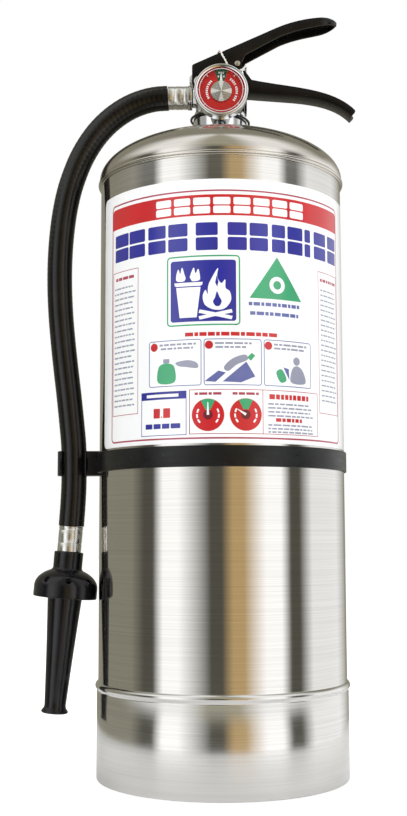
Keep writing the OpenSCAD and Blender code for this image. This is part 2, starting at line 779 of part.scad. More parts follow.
// ---- Hose and couplings ----
module hose_coupling() {
    color(chrome_c) difference() {
        union() {
            bar_x(outlet_z, outlet_port_r - thread_gap, -hex_x, -outlet_end + 8);
            translate([-ferrule_x, 0, outlet_z]) rotate([0, 90, 0])
                cylinder(r = hex_r, h = hex_h, $fn = 6);
            bar_x(outlet_z, tail_r, -ferrule_x - ferrule_top_len, -ferrule_x + 1);
        }
        bar_x(outlet_z, tail_bore_d / 2, -ferrule_x - ferrule_top_len - 1, 0);
    }
}

module coupling_washer() {
    color(rubber_c) translate([-hex_x, 0, outlet_z]) rotate([0, 90, 0])
        tube(outlet_r - 0.4, outlet_port_r, washer_t);
}

module upper_ferrule() {
    color(chrome_c) translate([-ferrule_x - ferrule_top_len, 0, outlet_z]) rotate([0, 90, 0])
        tube(ferrule_d / 2, tail_r, ferrule_top_len);
}

module hose() {
    route = [for (p = hose_route) [p[0], 0, p[1]]];
    color(rubber_c) swept(route, hose_d / 2, hose_sides, [0, 1, 0],
        [-1, 0, 0], [-sin(nozzle_lean), 0, -cos(nozzle_lean)]);
}

// ---- Nozzle, built down its own leaning axis from the hose's end ----
module nozzle_place() {
    translate([hose_end[0], 0, hose_end[1]]) rotate([0, nozzle_lean, 0]) children();
}

module lower_ferrule() {
    color(chrome_c) nozzle_place() translate([0, 0, -ferrule_len]) tube(ferrule_d / 2, tail_r, ferrule_len);
}

module hose_tail() {
    color(brass_c) nozzle_place() translate([0, 0, roof_z]) tube(tail_r, tail_bore_d / 2, -roof_z);
}

module nozzle_guard() {
    color(black) nozzle_place() difference() {
        rotate_extrude() polygon(concat(
            [[bell_d / 2, bell_rim]], bell_outer,
            [[collar_d / 2, -ferrule_len], [tail_r, -ferrule_len], [tail_r, roof_z]],
            reversed(bell_inner), [[bell_d / 2 - bell_wall, bell_rim]]));
        for (k = [0 : bell_holes - 1]) rotate([0, 0, 360 * (k + 0.25) / bell_holes])
            translate([bell_d * 0.38, 0, shoulder_z]) rotate([0, 34, 0])
                cylinder(d = air_hole_d, h = bell_h, $fn = 32);
    }
}

module nozzle_tube() {
    tip = roof_z - cone_len;
    tip_r = cone_tip_d / 2;
    lip = 3;
    flare = 2;
    color(black) nozzle_place() difference() {
        union() {
            translate([0, 0, tip + lip]) cylinder(r1 = tip_r, r2 = cone_top_d / 2, h = cone_len - lip);
            translate([0, 0, tip + 1.6]) cylinder(r1 = tip_r + flare, r2 = tip_r, h = lip + 1);
            translate([0, 0, tip]) cylinder(r = tip_r + flare, h = 1.6);
        }
        translate([0, 0, tip - 1])
            cylinder(r1 = tip_r - cone_wall, r2 = cone_top_d / 2 - cone_wall, h = cone_len - 4);
        translate([0, 0, roof_z - 6]) cylinder(r = tail_r, h = 7);
    }
}

// ---- Strap and clip ----
module strap_band() {
    color(black) translate([0, 0, strap_z - strap_w / 2]) tube(strap_out, strap_in, strap_w);
}

module strap_buckle() {
    color(black) difference() {
        translate([-buckle_w / 2, tank_r - 3, strap_z - strap_w / 2 - 1.5])
            cube([buckle_w, buckle_t + 3, strap_w + 3]);
        translate([0, 0, strap_z - strap_w]) cylinder(r = strap_out, h = 2 * strap_w, $fn = 360);
    }
}

module hose_clip() {
    low = strap_z + 0.5 - clip_h / 2;
    arm_w = 12;
    color(black) difference() {
        union() {
            translate([clip_x, 0, low]) cylinder(r = clip_out, h = clip_h);
            translate([clip_x, -arm_w / 2, low]) cube([-tank_r - clip_x + 3, arm_w, clip_h]);
        }
        translate([clip_x, 0, low - 1]) cylinder(r = clip_in, h = clip_h + 2);
        // Mouth at the front, where the hose is pushed in
        translate([clip_x, 0, low - 1]) linear_extrude(clip_h + 2) polygon([
            [0, 0], [-40 * sin(clip_open), -40 * cos(clip_open)], [40 * sin(clip_open), -40 * cos(clip_open)]
        ]);
        translate([0, 0, low - 1]) cylinder(r = tank_r + 0.1, h = clip_h + 2, $fn = 360);
        translate([0, 0, strap_z - strap_w / 2]) tube(strap_out, tank_r - 6, strap_w);
    }
}

tank_shell();
top_dome();
bottom_dome();
foot_skirt();
neck();
neck_oring();
label();
valve_body();
valve_stem();
stem_seal();
stem_gland();
stem_oring();
stem_spring();
siphon_nipple();
siphon_tube();
carry_handle();
handle_rivets();
squeeze_lever();
lever_pivot();
pull_pin();
pull_ring();
tamper_seal();
service_collar();
gauge_socket();
gauge_gasket();
gauge_case();
gauge_bezel();
gauge_dial();
bourdon_tube();
gauge_pivot();
gauge_needle();
gauge_lens();
hose_coupling();
coupling_washer();
upper_ferrule();
hose();
lower_ferrule();
hose_tail();
nozzle_guard();
nozzle_tube();
strap_band();
strap_buckle();
hose_clip();
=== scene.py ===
# %% [markdown]
# # A stainless water fire extinguisher
# The CAD frame holds every fit, hinge and mount. This notebook dresses it: each visible piece gets
# either a finish of its own or a finer mesh that stands for the plain CAD solid. Lengths in the
# making are millimetres, because that is how such an object is drawn, and Blender's are metres.

# %% Load the frame
import bmesh
import bpy
import math
import random
from mathutils import Matrix, Vector


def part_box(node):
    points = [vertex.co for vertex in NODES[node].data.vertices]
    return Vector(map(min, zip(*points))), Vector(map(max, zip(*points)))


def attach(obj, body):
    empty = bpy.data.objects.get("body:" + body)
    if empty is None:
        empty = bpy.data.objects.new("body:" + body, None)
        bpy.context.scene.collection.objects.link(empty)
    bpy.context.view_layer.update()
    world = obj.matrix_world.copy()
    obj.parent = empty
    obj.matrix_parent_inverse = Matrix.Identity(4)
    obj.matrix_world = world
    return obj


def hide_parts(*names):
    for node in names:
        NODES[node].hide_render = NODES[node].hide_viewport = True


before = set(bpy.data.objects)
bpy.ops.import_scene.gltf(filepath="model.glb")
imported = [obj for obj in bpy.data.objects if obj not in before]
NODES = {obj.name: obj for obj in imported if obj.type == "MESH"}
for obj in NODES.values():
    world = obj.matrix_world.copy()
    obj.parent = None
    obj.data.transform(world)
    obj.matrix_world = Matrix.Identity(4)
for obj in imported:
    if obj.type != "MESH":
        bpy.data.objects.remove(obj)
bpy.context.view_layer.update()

MM = 0.001


def node_box(name):
    """A node's lowest and highest corners in millimetres."""
    low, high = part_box(name)
    return [v / MM for v in low], [v / MM for v in high]


# %% [markdown]
# ## Camera
# A plain view from in front and a little below the middle, looking slightly up, as a person sees an
# extinguisher that stands on a table. The lens is given by its picture angle, so the tank keeps the
# mild taper that a near camera gives it.

# %% Camera
camera_data = bpy.data.cameras.new("front_camera")
camera_data.sensor_fit = "VERTICAL"
camera_data.sensor_height = 36.0
camera_data.lens = 52.87
camera = bpy.data.objects.new("front_camera", camera_data)
bpy.context.scene.collection.objects.link(camera)
camera_yaw, camera_pitch, camera_roll = 0.857, 6.153, 0.16
turn = (Matrix.Rotation(math.radians(camera_yaw), 4, "Z")
        @ Matrix.Rotation(math.radians(camera_pitch), 4, "X")
        @ Matrix.Rotation(math.radians(camera_roll), 4, "Y"))
camera_place = (0, -0.9361, 0.1801)
camera.matrix_world = (Matrix.Translation(camera_place) @ turn @ Matrix.Rotation(math.radians(90), 4, "X"))
bpy.context.scene.camera = camera
bpy.context.scene.view_settings.view_transform = "Standard"
print("camera at", [round(v, 3) for v in camera.matrix_world.translation])


# %% [markdown]
# ## Meshes from rings
# Nearly everything on an extinguisher is turned on a lathe, so one helper turns an outline round an
# axis. Another sweeps a ring along a path for hoses and wire. Both smooth the faces but keep edges
# sharper than 35 degrees crisp, as machined edges are.

# %% Mesh helpers
SHARP = math.radians(35)


def make_piece(name, verts, faces, place=None, sharp=SHARP):
    """A mesh object from millimetre points, shaded smooth with crisp edges."""
    mesh = bpy.data.meshes.new(name)
    points = [Vector(v) * MM for v in verts]
    if place is not None:
        points = [place @ p for p in points]
    mesh.from_pydata(points, [], faces)
    mesh.validate()
    obj = bpy.data.objects.new(name, mesh)
    bpy.context.scene.collection.objects.link(obj)
    tidy_faces(obj, sharp)
    return obj


def tidy_faces(obj, sharp=SHARP):
    """Faces all outwards, smooth between sharp edges."""
    bm = bmesh.new()
    bm.from_mesh(obj.data)
    bmesh.ops.remove_doubles(bm, verts=bm.verts, dist=1e-7)
    bmesh.ops.recalc_face_normals(bm, faces=bm.faces)
    bm.to_mesh(obj.data)
    bm.free()
    obj.data.shade_smooth()
    obj.data.set_sharp_from_angle(angle=sharp)


def ring_faces(count, sides, closed):
    """Four-cornered faces between each ring of points and the next."""
    faces = []
    for i in range(count if closed else count - 1):
        j = (i + 1) % count
        for k in range(sides):
            n = (k + 1) % sides
            faces.append((i * sides + k, i * sides + n, j * sides + n, j * sides + k))
    return faces


def lathe(name, outline, steps=192, place=None, closed=True, sharp=SHARP):
    """Turns (radius, height) points round Z. A closed outline joins its last point to its first."""
    verts = []
    for r, z in outline:
        for k in range(steps):
            a = 2 * math.pi * k / steps
            verts.append((r * math.cos(a), r * math.sin(a), z))
    return make_piece(name, verts, ring_faces(len(outline), steps, closed), place, sharp)


def arc(cx, cz, r, start, end, n=8):
    """Points on a circle in the outline's plane, angles in degrees."""
    return [(cx + r * math.cos(math.radians(start + (end - start) * i / n)),
             cz + r * math.sin(math.radians(start + (end - start) * i / n))) for i in range(n + 1)]


def sweep(name, path, radius, sides=16, closed=False, place=None, sharp=SHARP):
    """A round bar along a path. radius is a number or a function of (distance, angle)."""
    points = [Vector(p) for p in path]
    count = len(points)
    side = None
    verts, run = [], 0.0
    for i, p in enumerate(points):
        ahead = points[(i + 1) % count] if closed else points[min(i + 1, count - 1)]
        behind = points[i - 1] if closed or i else points[0]
        along = (ahead - behind).normalized()
        if side is None:
            side = along.orthogonal().normalized()
        side = (side - side.dot(along) * along).normalized()
        up = along.cross(side)
        run += (p - points[i - 1]).length if i else 0.0
        for k in range(sides):
            a = 2 * math.pi * k / sides
            r = radius(run, a) if callable(radius) else radius
            verts.append(p + r * (math.cos(a) * side + math.sin(a) * up))
    faces = ring_faces(count, sides, closed)
    if not closed:
        faces.append(tuple(range(sides))[::-1])
        faces.append(tuple(range((count - 1) * sides, count * sides)))
    return make_piece(name, verts, faces, place, sharp)


def between(a, b, c, d, t):
    """The point at t from b to c on a smooth curve (Catmull-Rom)."""
    return 0.5 * ((2 * b) + (c - a) * t + (2 * a - 5 * b + 4 * c - d) * t * t
        + (3 * b - 3 * c + d - a) * t ** 3)


def smooth_path(points, per_span=8):
    """A smooth curve through all the points."""
    p = [Vector(v) for v in points]
    p = [2 * p[0] - p[1]] + p + [2 * p[-1] - p[-2]]
    out = []
    for i in range(1, len(p) - 2):
        out += [between(*p[i - 1:i + 3], s / per_span) for s in range(per_span)]
    return out + [p[-2]]


def edit(obj, *steps):
    """Adds modifiers in turn and applies them all to the mesh."""
    for kind, settings in steps:
        modifier = obj.modifiers.new(kind.lower(), kind)
        for key, value in settings.items():
            setattr(modifier, key, value)
    graph = bpy.context.evaluated_depsgraph_get()
    done = bpy.data.meshes.new_from_object(obj.evaluated_get(graph))
    obj.modifiers.clear()
    old, obj.data = obj.data, done
    bpy.data.meshes.remove(old)
    return obj


def rounded(width, segments=3, angle=30):
    """Settings of a bevel that rounds every edge sharper than an angle."""
    return ("BEVEL", {"width": width * MM, "segments": segments, "limit_method": "ANGLE",
        "angle_limit": math.radians(angle), "harden_normals": False})


def cut_with(obj, cutters):
    """Cuts the cutters out of the piece and throws them away."""
    for cutter in cutters:
        edit(obj, ("BOOLEAN", {"object": cutter, "operation": "DIFFERENCE", "solver": "EXACT"}))
        bpy.data.objects.remove(cutter)
    tidy_faces(obj)
    return obj


# %% [markdown]
# ## Finishes
# A finish is one Principled shader with procedural detail on it: noise stretched along the way the
# metal was brushed, faint blotches in the roughness where hands have been, and a fine bump. The
# values that hold all over a surface go straight on the shader's own sockets.

# %% Finish helper
class Finish:
    """One procedural material."""

    def __init__(self, name, color, **sockets):
        self.material = bpy.data.materials.new(name)
        self.material.use_nodes = True
        self.tree = self.material.node_tree
        self.shader = self.tree.nodes["Principled BSDF"]
        self.shader.inputs["Base Color"].default_value = (*color, 1)
        self.color = color
        for key, value in sockets.items():
            self.shader.inputs[key.replace("_", " ")].default_value = value
        self.place = self.tree.nodes.new("ShaderNodeTexCoord").outputs["Object"]

    def node(self, kind, **inputs):
        node = self.tree.nodes.new(kind)
        for key, value in inputs.items():
            self.feed(node.inputs[key], value)
        return node

    def feed(self, socket, value):
        """Links a socket to another, or sets its number."""
        if hasattr(value, "links"):
            self.tree.links.new(value, socket)
        else:
            socket.default_value = value

    def maths(self, operation, *values):
        """The result of one sum on sockets or numbers."""
        node = self.tree.nodes.new("ShaderNodeMath")
        node.operation = operation
        for socket, value in zip(node.inputs, values):
            self.feed(socket, value)
        return node.outputs[0]

    def noise(self, scale, stretch=(1, 1, 1), detail=4.0):
        """Noise with scale features a metre, closer together along a stretched axis."""
        spread = self.node("ShaderNodeMapping", Vector=self.place, Scale=stretch)
        return self.node("ShaderNodeTexNoise", Vector=spread.outputs["Vector"], Scale=scale,
            Detail=detail).outputs["Fac"]

    def spread(self, value, low, high, start=0.3, end=0.7):
        node = self.node("ShaderNodeMapRange", Value=value)
        for key, number in (("From Min", start), ("From Max", end), ("To Min", low), ("To Max", high)):
            node.inputs[key].default_value = number
        return node.outputs["Result"]

    def tint(self, value, other, low=0.0, high=1.0):
        """Blends the base colour towards another where value is high."""
        mix = self.tree.nodes.new("ShaderNodeMix")
        mix.data_type = "RGBA"
        self.tree.links.new(self.spread(value, low, high), mix.inputs["Factor"])
        mix.inputs["A"].default_value = (*self.color, 1)
        mix.inputs["B"].default_value = (*other, 1)
        self.tree.links.new(mix.outputs["Result"], self.shader.inputs["Base Color"])
        return self

    def rough(self, value, low, high):
        self.tree.links.new(self.spread(value, low, high), self.shader.inputs["Roughness"])
        return self

    def bump(self, value, depth, strength=0.4):
        """Raises the surface by up to depth millimetres."""
        node = self.node("ShaderNodeBump", Height=value, Distance=depth * MM, Strength=strength)
        self.tree.links.new(node.outputs["Normal"], self.shader.inputs["Normal"])
        return self


def brushed_round(name, color, rough_low, rough_high, aniso=0.75):
    """Metal brushed round the Z axis: reflections stay sharp sideways and smear up and down."""
    finish = Finish(name, color, Metallic=1.0, Anisotropic=aniso, Anisotropic_Rotation=0.25)
    tangent = finish.tree.nodes.new("ShaderNodeTangent")
    tangent.direction_type = "RADIAL"
    tangent.axis = "Z"
    finish.tree.links.new(tangent.outputs["Tangent"], finish.shader.inputs["Tangent"])
    grain = finish.noise(9.0, (1, 1, 160), 5.0)
    finish.rough(grain, rough_low, rough_high)
    finish.tint(finish.noise(7.0, (1, 1, 170), 8.0), tuple(c * 0.84 for c in color), 0.1, 0.9)
    dents = finish.node("ShaderNodeBump", Height=finish.noise(7.0, (1, 1, 1.4), 1.0), Distance=0.7 * MM,
        Strength=1.0)
    lines = finish.node("ShaderNodeBump", Height=grain, Distance=0.012 * MM, Strength=0.25,
        Normal=dents.outputs["Normal"])
    finish.tree.links.new(lines.outputs["Normal"], finish.shader.inputs["Normal"])
    return finish


# %% [markdown]
# The steel of the tank is polished and then brushed round its axis. The black levers are powder
# coated, which leaves a faint orange peel. The nozzle is glossy moulded plastic, the strap is
# satin, and the hose is rubber with a ribbed cover.

# %% The finishes
steel = brushed_round("tank_steel", (0.76, 0.745, 0.715), 0.06, 0.12)
skirt_steel = brushed_round("skirt_steel", (0.80, 0.79, 0.77), 0.10, 0.18)
dome_steel = brushed_round("dome_steel", (0.74, 0.71, 0.66), 0.13, 0.21, 0.4)

plated = Finish("plated_brass", (0.80, 0.81, 0.82), Metallic=1.0)
plated.rough(plated.noise(260.0), 0.06, 0.16).bump(plated.noise(700.0), 0.02, 0.15)

satin_plated = Finish("satin_plated", (0.78, 0.78, 0.76), Metallic=1.0)
satin_plated.rough(satin_plated.noise(300.0, (1, 1, 4)), 0.20, 0.30)
satin_plated.bump(satin_plated.noise(900.0, (1, 1, 6)), 0.03, 0.25)

brass = Finish("turned_brass", (0.74, 0.58, 0.30), Metallic=1.0)
brass.rough(brass.noise(400.0, (1, 1, 5)), 0.18, 0.34).tint(brass.noise(120.0), (0.58, 0.42, 0.20))

zinc = Finish("zinc_plate", (0.66, 0.66, 0.64), Metallic=1.0)
zinc.rough(zinc.noise(500.0), 0.25, 0.42).tint(zinc.noise(200.0), (0.52, 0.52, 0.50))

powder_black = Finish("powder_black", (0.002, 0.002, 0.002), Specular_IOR_Level=0.28)
powder_black.rough(powder_black.noise(180.0), 0.16, 0.24).bump(powder_black.noise(500.0), 0.01, 0.10)
powder_black.tint(powder_black.noise(60.0), (0.006, 0.005, 0.005))

gloss_black = Finish("gloss_black", (0.002, 0.002, 0.003), Specular_IOR_Level=0.42)
gloss_black.rough(gloss_black.noise(120.0), 0.14, 0.22).bump(gloss_black.noise(300.0), 0.015, 0.10)
gloss_black.tint(gloss_black.noise(50.0), (0.006, 0.006, 0.009))

satin_black = Finish("satin_black", (0.004, 0.004, 0.004), Specular_IOR_Level=0.32)
satin_black.rough(satin_black.noise(90.0, (1, 1, 6)), 0.26, 0.38)
satin_black.tint(satin_black.noise(40.0), (0.010, 0.011, 0.011))
satin_black.bump(satin_black.noise(1200.0), 0.03, 0.25)

hose_rubber = Finish("hose_rubber", (0.002, 0.002, 0.002), Specular_IOR_Level=0.42)
hose_rubber.rough(hose_rubber.noise(150.0), 0.16, 0.24).bump(hose_rubber.noise(1200.0), 0.02, 0.20)
hose_rubber.tint(hose_rubber.noise(80.0), (0.007, 0.006, 0.005))

soft_rubber = Finish("seal_rubber", (0.03, 0.03, 0.03))
soft_rubber.rough(soft_rubber.noise(300.0), 0.5, 0.7).bump(soft_rubber.noise(1500.0), 0.04)

milky = Finish("milky_plastic", (0.86, 0.85, 0.80), Subsurface_Weight=0.15, Subsurface_Scale=0.002)
milky.rough(milky.noise(300.0), 0.30, 0.45).tint(milky.noise(150.0), (0.78, 0.76, 0.68))

vinyl = Finish("label_vinyl", (0.90, 0.91, 0.905), Coat_Weight=0.8, Coat_Roughness=0.05)
vinyl.rough(vinyl.noise(60.0), 0.30, 0.40).tint(vinyl.noise(25.0), (0.885, 0.90, 0.90))
vinyl.bump(vinyl.noise(90.0, (1, 1, 0.5)), 0.05, 0.12)

clear = Finish("clear_lens", (0.02, 0.02, 0.02), Alpha=0.03, IOR=1.46)
clear.rough(clear.noise(200.0), 0.0, 0.03)


def ink(name, color, faded):
    """Printed ink under the label's clear film."""
    finish = Finish(name, color, Coat_Weight=0.6, Coat_Roughness=0.08)
    return finish.rough(finish.noise(80.0), 0.30, 0.40).tint(finish.noise(70.0), faded)


ink_red = ink("ink_red", (0.56, 0.004, 0.008), (0.50, 0.008, 0.012))
ink_blue = ink("ink_blue", (0.016, 0.016, 0.29), (0.020, 0.022, 0.25))
ink_green = ink("ink_green", (0.035, 0.36, 0.15), (0.045, 0.33, 0.15))
ink_white = ink("ink_white", (0.92, 0.92, 0.92), (0.89, 0.90, 0.90))
ink_grey = ink("ink_grey", (0.26, 0.27, 0.36), (0.31, 0.32, 0.40))
ink_rose = ink("ink_rose", (0.40, 0.03, 0.07), (0.36, 0.05, 0.09))
ink_slate = ink("ink_slate", (0.10, 0.12, 0.34), (0.13, 0.15, 0.35))
ink_dial = ink("ink_dial", (0.56, 0.006, 0.004), (0.50, 0.008, 0.005))
ink_deep = ink("ink_deep", (0.16, 0.004, 0.01), (0.13, 0.006, 0.012))
ink_leaf = ink("ink_leaf", (0.015, 0.10, 0.035), (0.02, 0.085, 0.035))


def dress(obj, finish, body, slot, *replaced):
    """Gives a piece its finish and body, and hides the CAD nodes it stands for. The slot is not used."""
    obj.data.materials.clear()
    obj.data.materials.append(finish.material)
    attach(obj, body)
    if replaced:
        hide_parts(*replaced)
    return obj


def dress_node(name, finish):
    """A CAD node whose shape is right keeps it and gets a finish."""
    slots = NODES[name].data.materials
    if not len(slots):
        slots.append(finish.material)
    for i in range(len(slots)):
        slots[i] = finish.material


# %% [markdown]
# ## Hose
# The hose comes first, because its length and route are fixed: straight out of the valve, over in
# one wide bend, down past the tank and through the strap's clip into the nozzle. The cover has a
# shallow spiral rib from the cloth it was cured in, so the ring's radius follows a screw.

# %% Hose
HOSE_ROUTE = [
    (-42, 533), (-52, 532.3), (-62, 530), (-72, 526), (-81.5, 520.3), (-90.5, 513),
    (-98.8, 504), (-106, 493.6), (-112.2, 482), (-117.3, 469), (-121.5, 455), (-124.8, 438),
    (-127, 419), (-128.1, 399), (-128.1, 378), (-127, 356), (-125, 334), (-122.5, 312),
    (-119.8, 290), (-117.4, 268), (-115.8, 250), (-115.4, 226), (-116, 207), (-117.2, 189),
]
hose_r = 9.85
rib_pitch, rib_depth = 4.2, 0.035
hose_path = smooth_path([(x, 0, z) for x, z in HOSE_ROUTE], 26)
hose = sweep("hose_cover", hose_path, lambda run, a: hose_r
    + rib_depth * math.cos(2 * math.pi * run / rib_pitch + a), 40)
dress(hose, hose_rubber, "tank", "hose_rubber", "hose")

# %% [markdown]
# ## Nozzle
# Ferrule, guard and tube are turned on one axis that leans a little outwards. The bell guard keeps
# the hand dry and lets air in through a ring of round holes. Each is a lathe outline; the holes are
# cut with short bars.

# %% Nozzle axis and ferrules
end_x, end_z = HOSE_ROUTE[-1]
LEAN = math.radians(4.7)
nozzle_axis = Matrix.Translation((end_x * MM, 0, end_z * MM)) @ Matrix.Rotation(LEAN, 4, "Y")


def ferrule_outline(length, outer, bore):
    """A crimped sleeve from height 0 down: rolled mouths and pressed rings."""
    out = [(bore, 0), (outer - 0.6, 0)] + arc(outer - 0.5, -0.6, 0.5, 90, 0, 4)
    for top in (-2.6, -length * 0.62):
        out += [(outer, top), (outer - 0.25, top - 0.35), (outer - 0.25, top - 0.9), (outer, top - 1.25)]
    out += [(outer, -length + 1.2)] + arc(outer - 0.5, -length + 0.5, 0.5, 0, -90, 4) + [(bore, -length)]
    return out


lower = lathe("lower_ferrule_crimped", ferrule_outline(20, 9.2, 6.2), 96, nozzle_axis,
    sharp=math.radians(50))
dress(lower, satin_plated, "tank", "chrome", "lower_ferrule")

# %% Nozzle guard
guard_top, collar_r, collar_h, bell_r, bell_h = -20, 11.2, 12, 24.5, 23
bell_rim = guard_top - collar_h - bell_h
shoulder = bell_h * 0.66
shoulder_z = bell_rim + bell_h - shoulder


def quarter(rx, rz, z0, r_end, n=20):
    """A quarter ellipse from the widest point up to radius r_end."""
    last = math.acos(r_end / rx)
    return [(rx * math.cos(last * i / n), z0 + rz * math.sin(last * i / n)) for i in range(n + 1)]


bell_out = quarter(bell_r, shoulder, shoulder_z, collar_r + 1.2)
bell_in = quarter(bell_r - 2, shoulder - 2, shoulder_z, 14.1)
guard_outline = ([(bell_r, bell_rim + 0.5)] + bell_out + [(collar_r + 0.4, bell_out[-1][1] + 0.8),
    (collar_r, bell_out[-1][1] + 1.8)] + [(collar_r, guard_top - 1.0)]
    + arc(collar_r - 0.8, guard_top - 0.8, 0.8, 0, 90, 4) + [(6.2, guard_top), (6.2, bell_in[-1][1])]
    + bell_in[::-1] + [(bell_r - 2, bell_rim + 0.5)] + arc(bell_r - 1, bell_rim + 0.9, 1.0, 180, 360, 8))
guard = lathe("nozzle_guard_bell", guard_outline, 160, nozzle_axis)
holes = []
for k in range(8):
    around = Matrix.Rotation(math.radians(360 * (k + 0.25) / 8), 4, "Z")
    lean = Matrix.Translation((bell_r * 0.76 * MM, 0, shoulder_z * MM)) @ Matrix.Rotation(math.radians(34),
        4, "Y")
    holes.append(lathe(f"air_hole_{k}", [(0.001, 0), (2.3, 0), (2.3, bell_h), (0.001, bell_h)], 32,
        nozzle_axis @ around @ lean))
cut_with(guard, holes)
dress(guard, gloss_black, "tank", "black_gloss", "nozzle_guard")
print("guard faces:", len(guard.data.polygons))

# %% Nozzle tube
roof = bell_in[-1][1]
tube_len, tube_top_r, tube_tip_r = 106, 14, 8.2
tip = roof - tube_len
tube_outline = [(6.2, roof), (tube_top_r, roof), (tube_top_r - 0.4, roof - 8)]
for i in range(1, 13):
    t = i / 12
    tube_outline.append((tube_top_r + (tube_tip_r - tube_top_r) * t - 0.25 * math.sin(math.pi * t),
        roof - 8 + (tip + 6 - roof + 8) * t))
tube_outline += [(tube_tip_r + 0.3, tip + 4.2), (tube_tip_r + 1.2, tip + 2.8)]
tube_outline += arc(tube_tip_r + 0.9, tip + 1.3, 1.2, 60, -90, 8)
tube_outline += arc(tube_tip_r - 1.4, tip + 0.9, 0.9, 270, 180, 4)
tube_outline += [(tube_tip_r - 2.4, tip + 4), (10.8, roof - 8), (10.8, roof - 6), (6.2, roof - 6)]
nozzle = lathe("nozzle_tube_tapered", tube_outline, 128, nozzle_axis)
dress(nozzle, gloss_black, "tank", "black_gloss", "nozzle_tube")
print("nozzle tip at, mm:", round(end_x + math.sin(LEAN) * tip, 1), round(end_z + math.cos(LEAN) * tip, 1))

# %% [markdown]
# ## Tank
# Shell, top dome and foot skirt are welded from three pressings. The dome's collar slips over the
# shell and shows as a narrow rim. The skirt ends in a rolled bead with a dark line under it, where
# polish doesn't reach. Real outlines have small roundings, which catch thin highlights.

# %% Tank outlines
shell_low, shell_high = node_box("tank_shell")
tank_r = shell_high[0]
seam = node_box("top_dome")[0][2] + 6
neck_low, neck_high = node_box("neck")
neck_r, neck_top = neck_high[0], neck_high[2]
crown = neck_low[2] + 8
print("tank radius, seam, crown, neck top, mm:", tank_r, seam, crown, neck_top)

shell_wall = 1.2
shell = lathe("tank_shell_brushed", [
    (tank_r, shell_low[2]), (tank_r, 74), (tank_r, 250), (tank_r, 430), (tank_r, shell_high[2]),
    (tank_r - shell_wall, shell_high[2]), (tank_r - shell_wall, shell_low[2])], 360)
dress(shell, steel, "tank", "stainless", "tank_shell")

rim_r = tank_r + 1.2
collar = ([(tank_r, seam - 6), (rim_r - 0.3, seam - 6), (rim_r, seam - 5.7), (rim_r, seam - 5.0),
    (rim_r - 0.5, seam - 4.7)] + arc(rim_r - 0.2, seam - 3.4, 1.2, -80, 80, 8)
    + [(rim_r - 0.4, seam - 2.0), (rim_r, seam - 1.6), (rim_r, seam - 0.2)])
dome_out = [(x, z) for x, z in quarter(rim_r, crown - seam, seam, neck_r, 40)][1:]
dome_in = quarter(tank_r, crown - seam - 1.2, seam, neck_r, 40)[::-1]
dome = lathe("top_dome_pressed", collar + dome_out + dome_in, 360, sharp=math.radians(60))
dress(dome, dome_steel, "tank", "stainless", "top_dome")

skirt_r, bead_z, bead_h = tank_r + 1, 66, 6
skirt = lathe("foot_skirt_rolled", [(skirt_r - 4.5, 0), (skirt_r - 0.9, 0)]
    + arc(skirt_r - 0.7, 0.7, 0.7, -90, 0, 5) + [(skirt_r, 30), (skirt_r, bead_z - 1.4),
    (skirt_r - 0.35, bead_z - 1.0), (skirt_r - 0.35, bead_z - 0.4)]
    + arc(skirt_r - 1.9, bead_z + bead_h / 2, bead_h / 2 + 0.1, -52, 60, 10)
    + [(tank_r + 0.3, bead_z + bead_h - 0.1), (tank_r, bead_z + bead_h - 0.2), (tank_r, 40), (tank_r, 1.4),
    (tank_r - 0.6, 1.0), (skirt_r - 4.5, 1.0)], 360, sharp=math.radians(50))
dress(skirt, skirt_steel, "tank", "stainless", "foot_skirt")

# %% [markdown]
# The neck is a plated boss welded into the dome. A thin fillet of weld closes the joint, and the
# top edge is chamfered.

# %% Neck
spigot_bore = 16.55
neck = lathe("neck_boss", [(spigot_bore, neck_low[2]), (neck_r, neck_low[2]), (neck_r, crown - 1.0)]
    + [(neck_r + 0.02, crown + 0.6), (neck_r, crown + 2.0), (neck_r, neck_top - 0.7),
    (neck_r - 0.6, neck_top), (spigot_bore + 2.2, neck_top), (spigot_bore, neck_top - 1.2)], 160)
dress(neck, plated, "tank", "chrome", "neck")
weld = lathe("neck_weld", [(neck_r - 0.2, crown - 2.2), (neck_r + 2.6, crown - 1.55)]
    + arc(neck_r + 0.5, crown - 1.2, 2.0, 0, 95, 6) + [(neck_r - 0.2, crown + 0.8)], 120)
dress(weld, dome_steel, "tank", "stainless")

# %% [markdown]
# ## Valve
# The valve body is a forging with turned ends, so its CAD solid already has the right shape and
# only wants its edges broken. The same goes for the pressed levers: real sheet metal never has a
# knife edge. A copy of the CAD mesh is cleaned, its flat faces are joined, and its sharp edges get
# a small round that takes a highlight.

# %% Rounding copies of CAD solids
def refine(node, width, segments=2, angle=28, name=None):
    """A copy of a CAD node with its sharp edges rounded by width millimetres."""
    mesh = NODES[node].data.copy()
    obj = bpy.data.objects.new(name or f"{node}_rounded", mesh)
    bpy.context.scene.collection.objects.link(obj)
    bm = bmesh.new()
    bm.from_mesh(mesh)
    bmesh.ops.remove_doubles(bm, verts=bm.verts, dist=2e-6)
    bmesh.ops.dissolve_limit(bm, angle_limit=math.radians(0.8), verts=bm.verts, edges=bm.edges)
    bm.to_mesh(mesh)
    bm.free()
    edit(obj, rounded(width, segments, angle), ("TRIANGULATE", {}))
    obj.data.shade_smooth()
    obj.data.set_sharp_from_angle(angle=math.radians(40))
    print(node, "rounded by", width, "mm,", len(obj.data.polygons), "faces")
    return obj


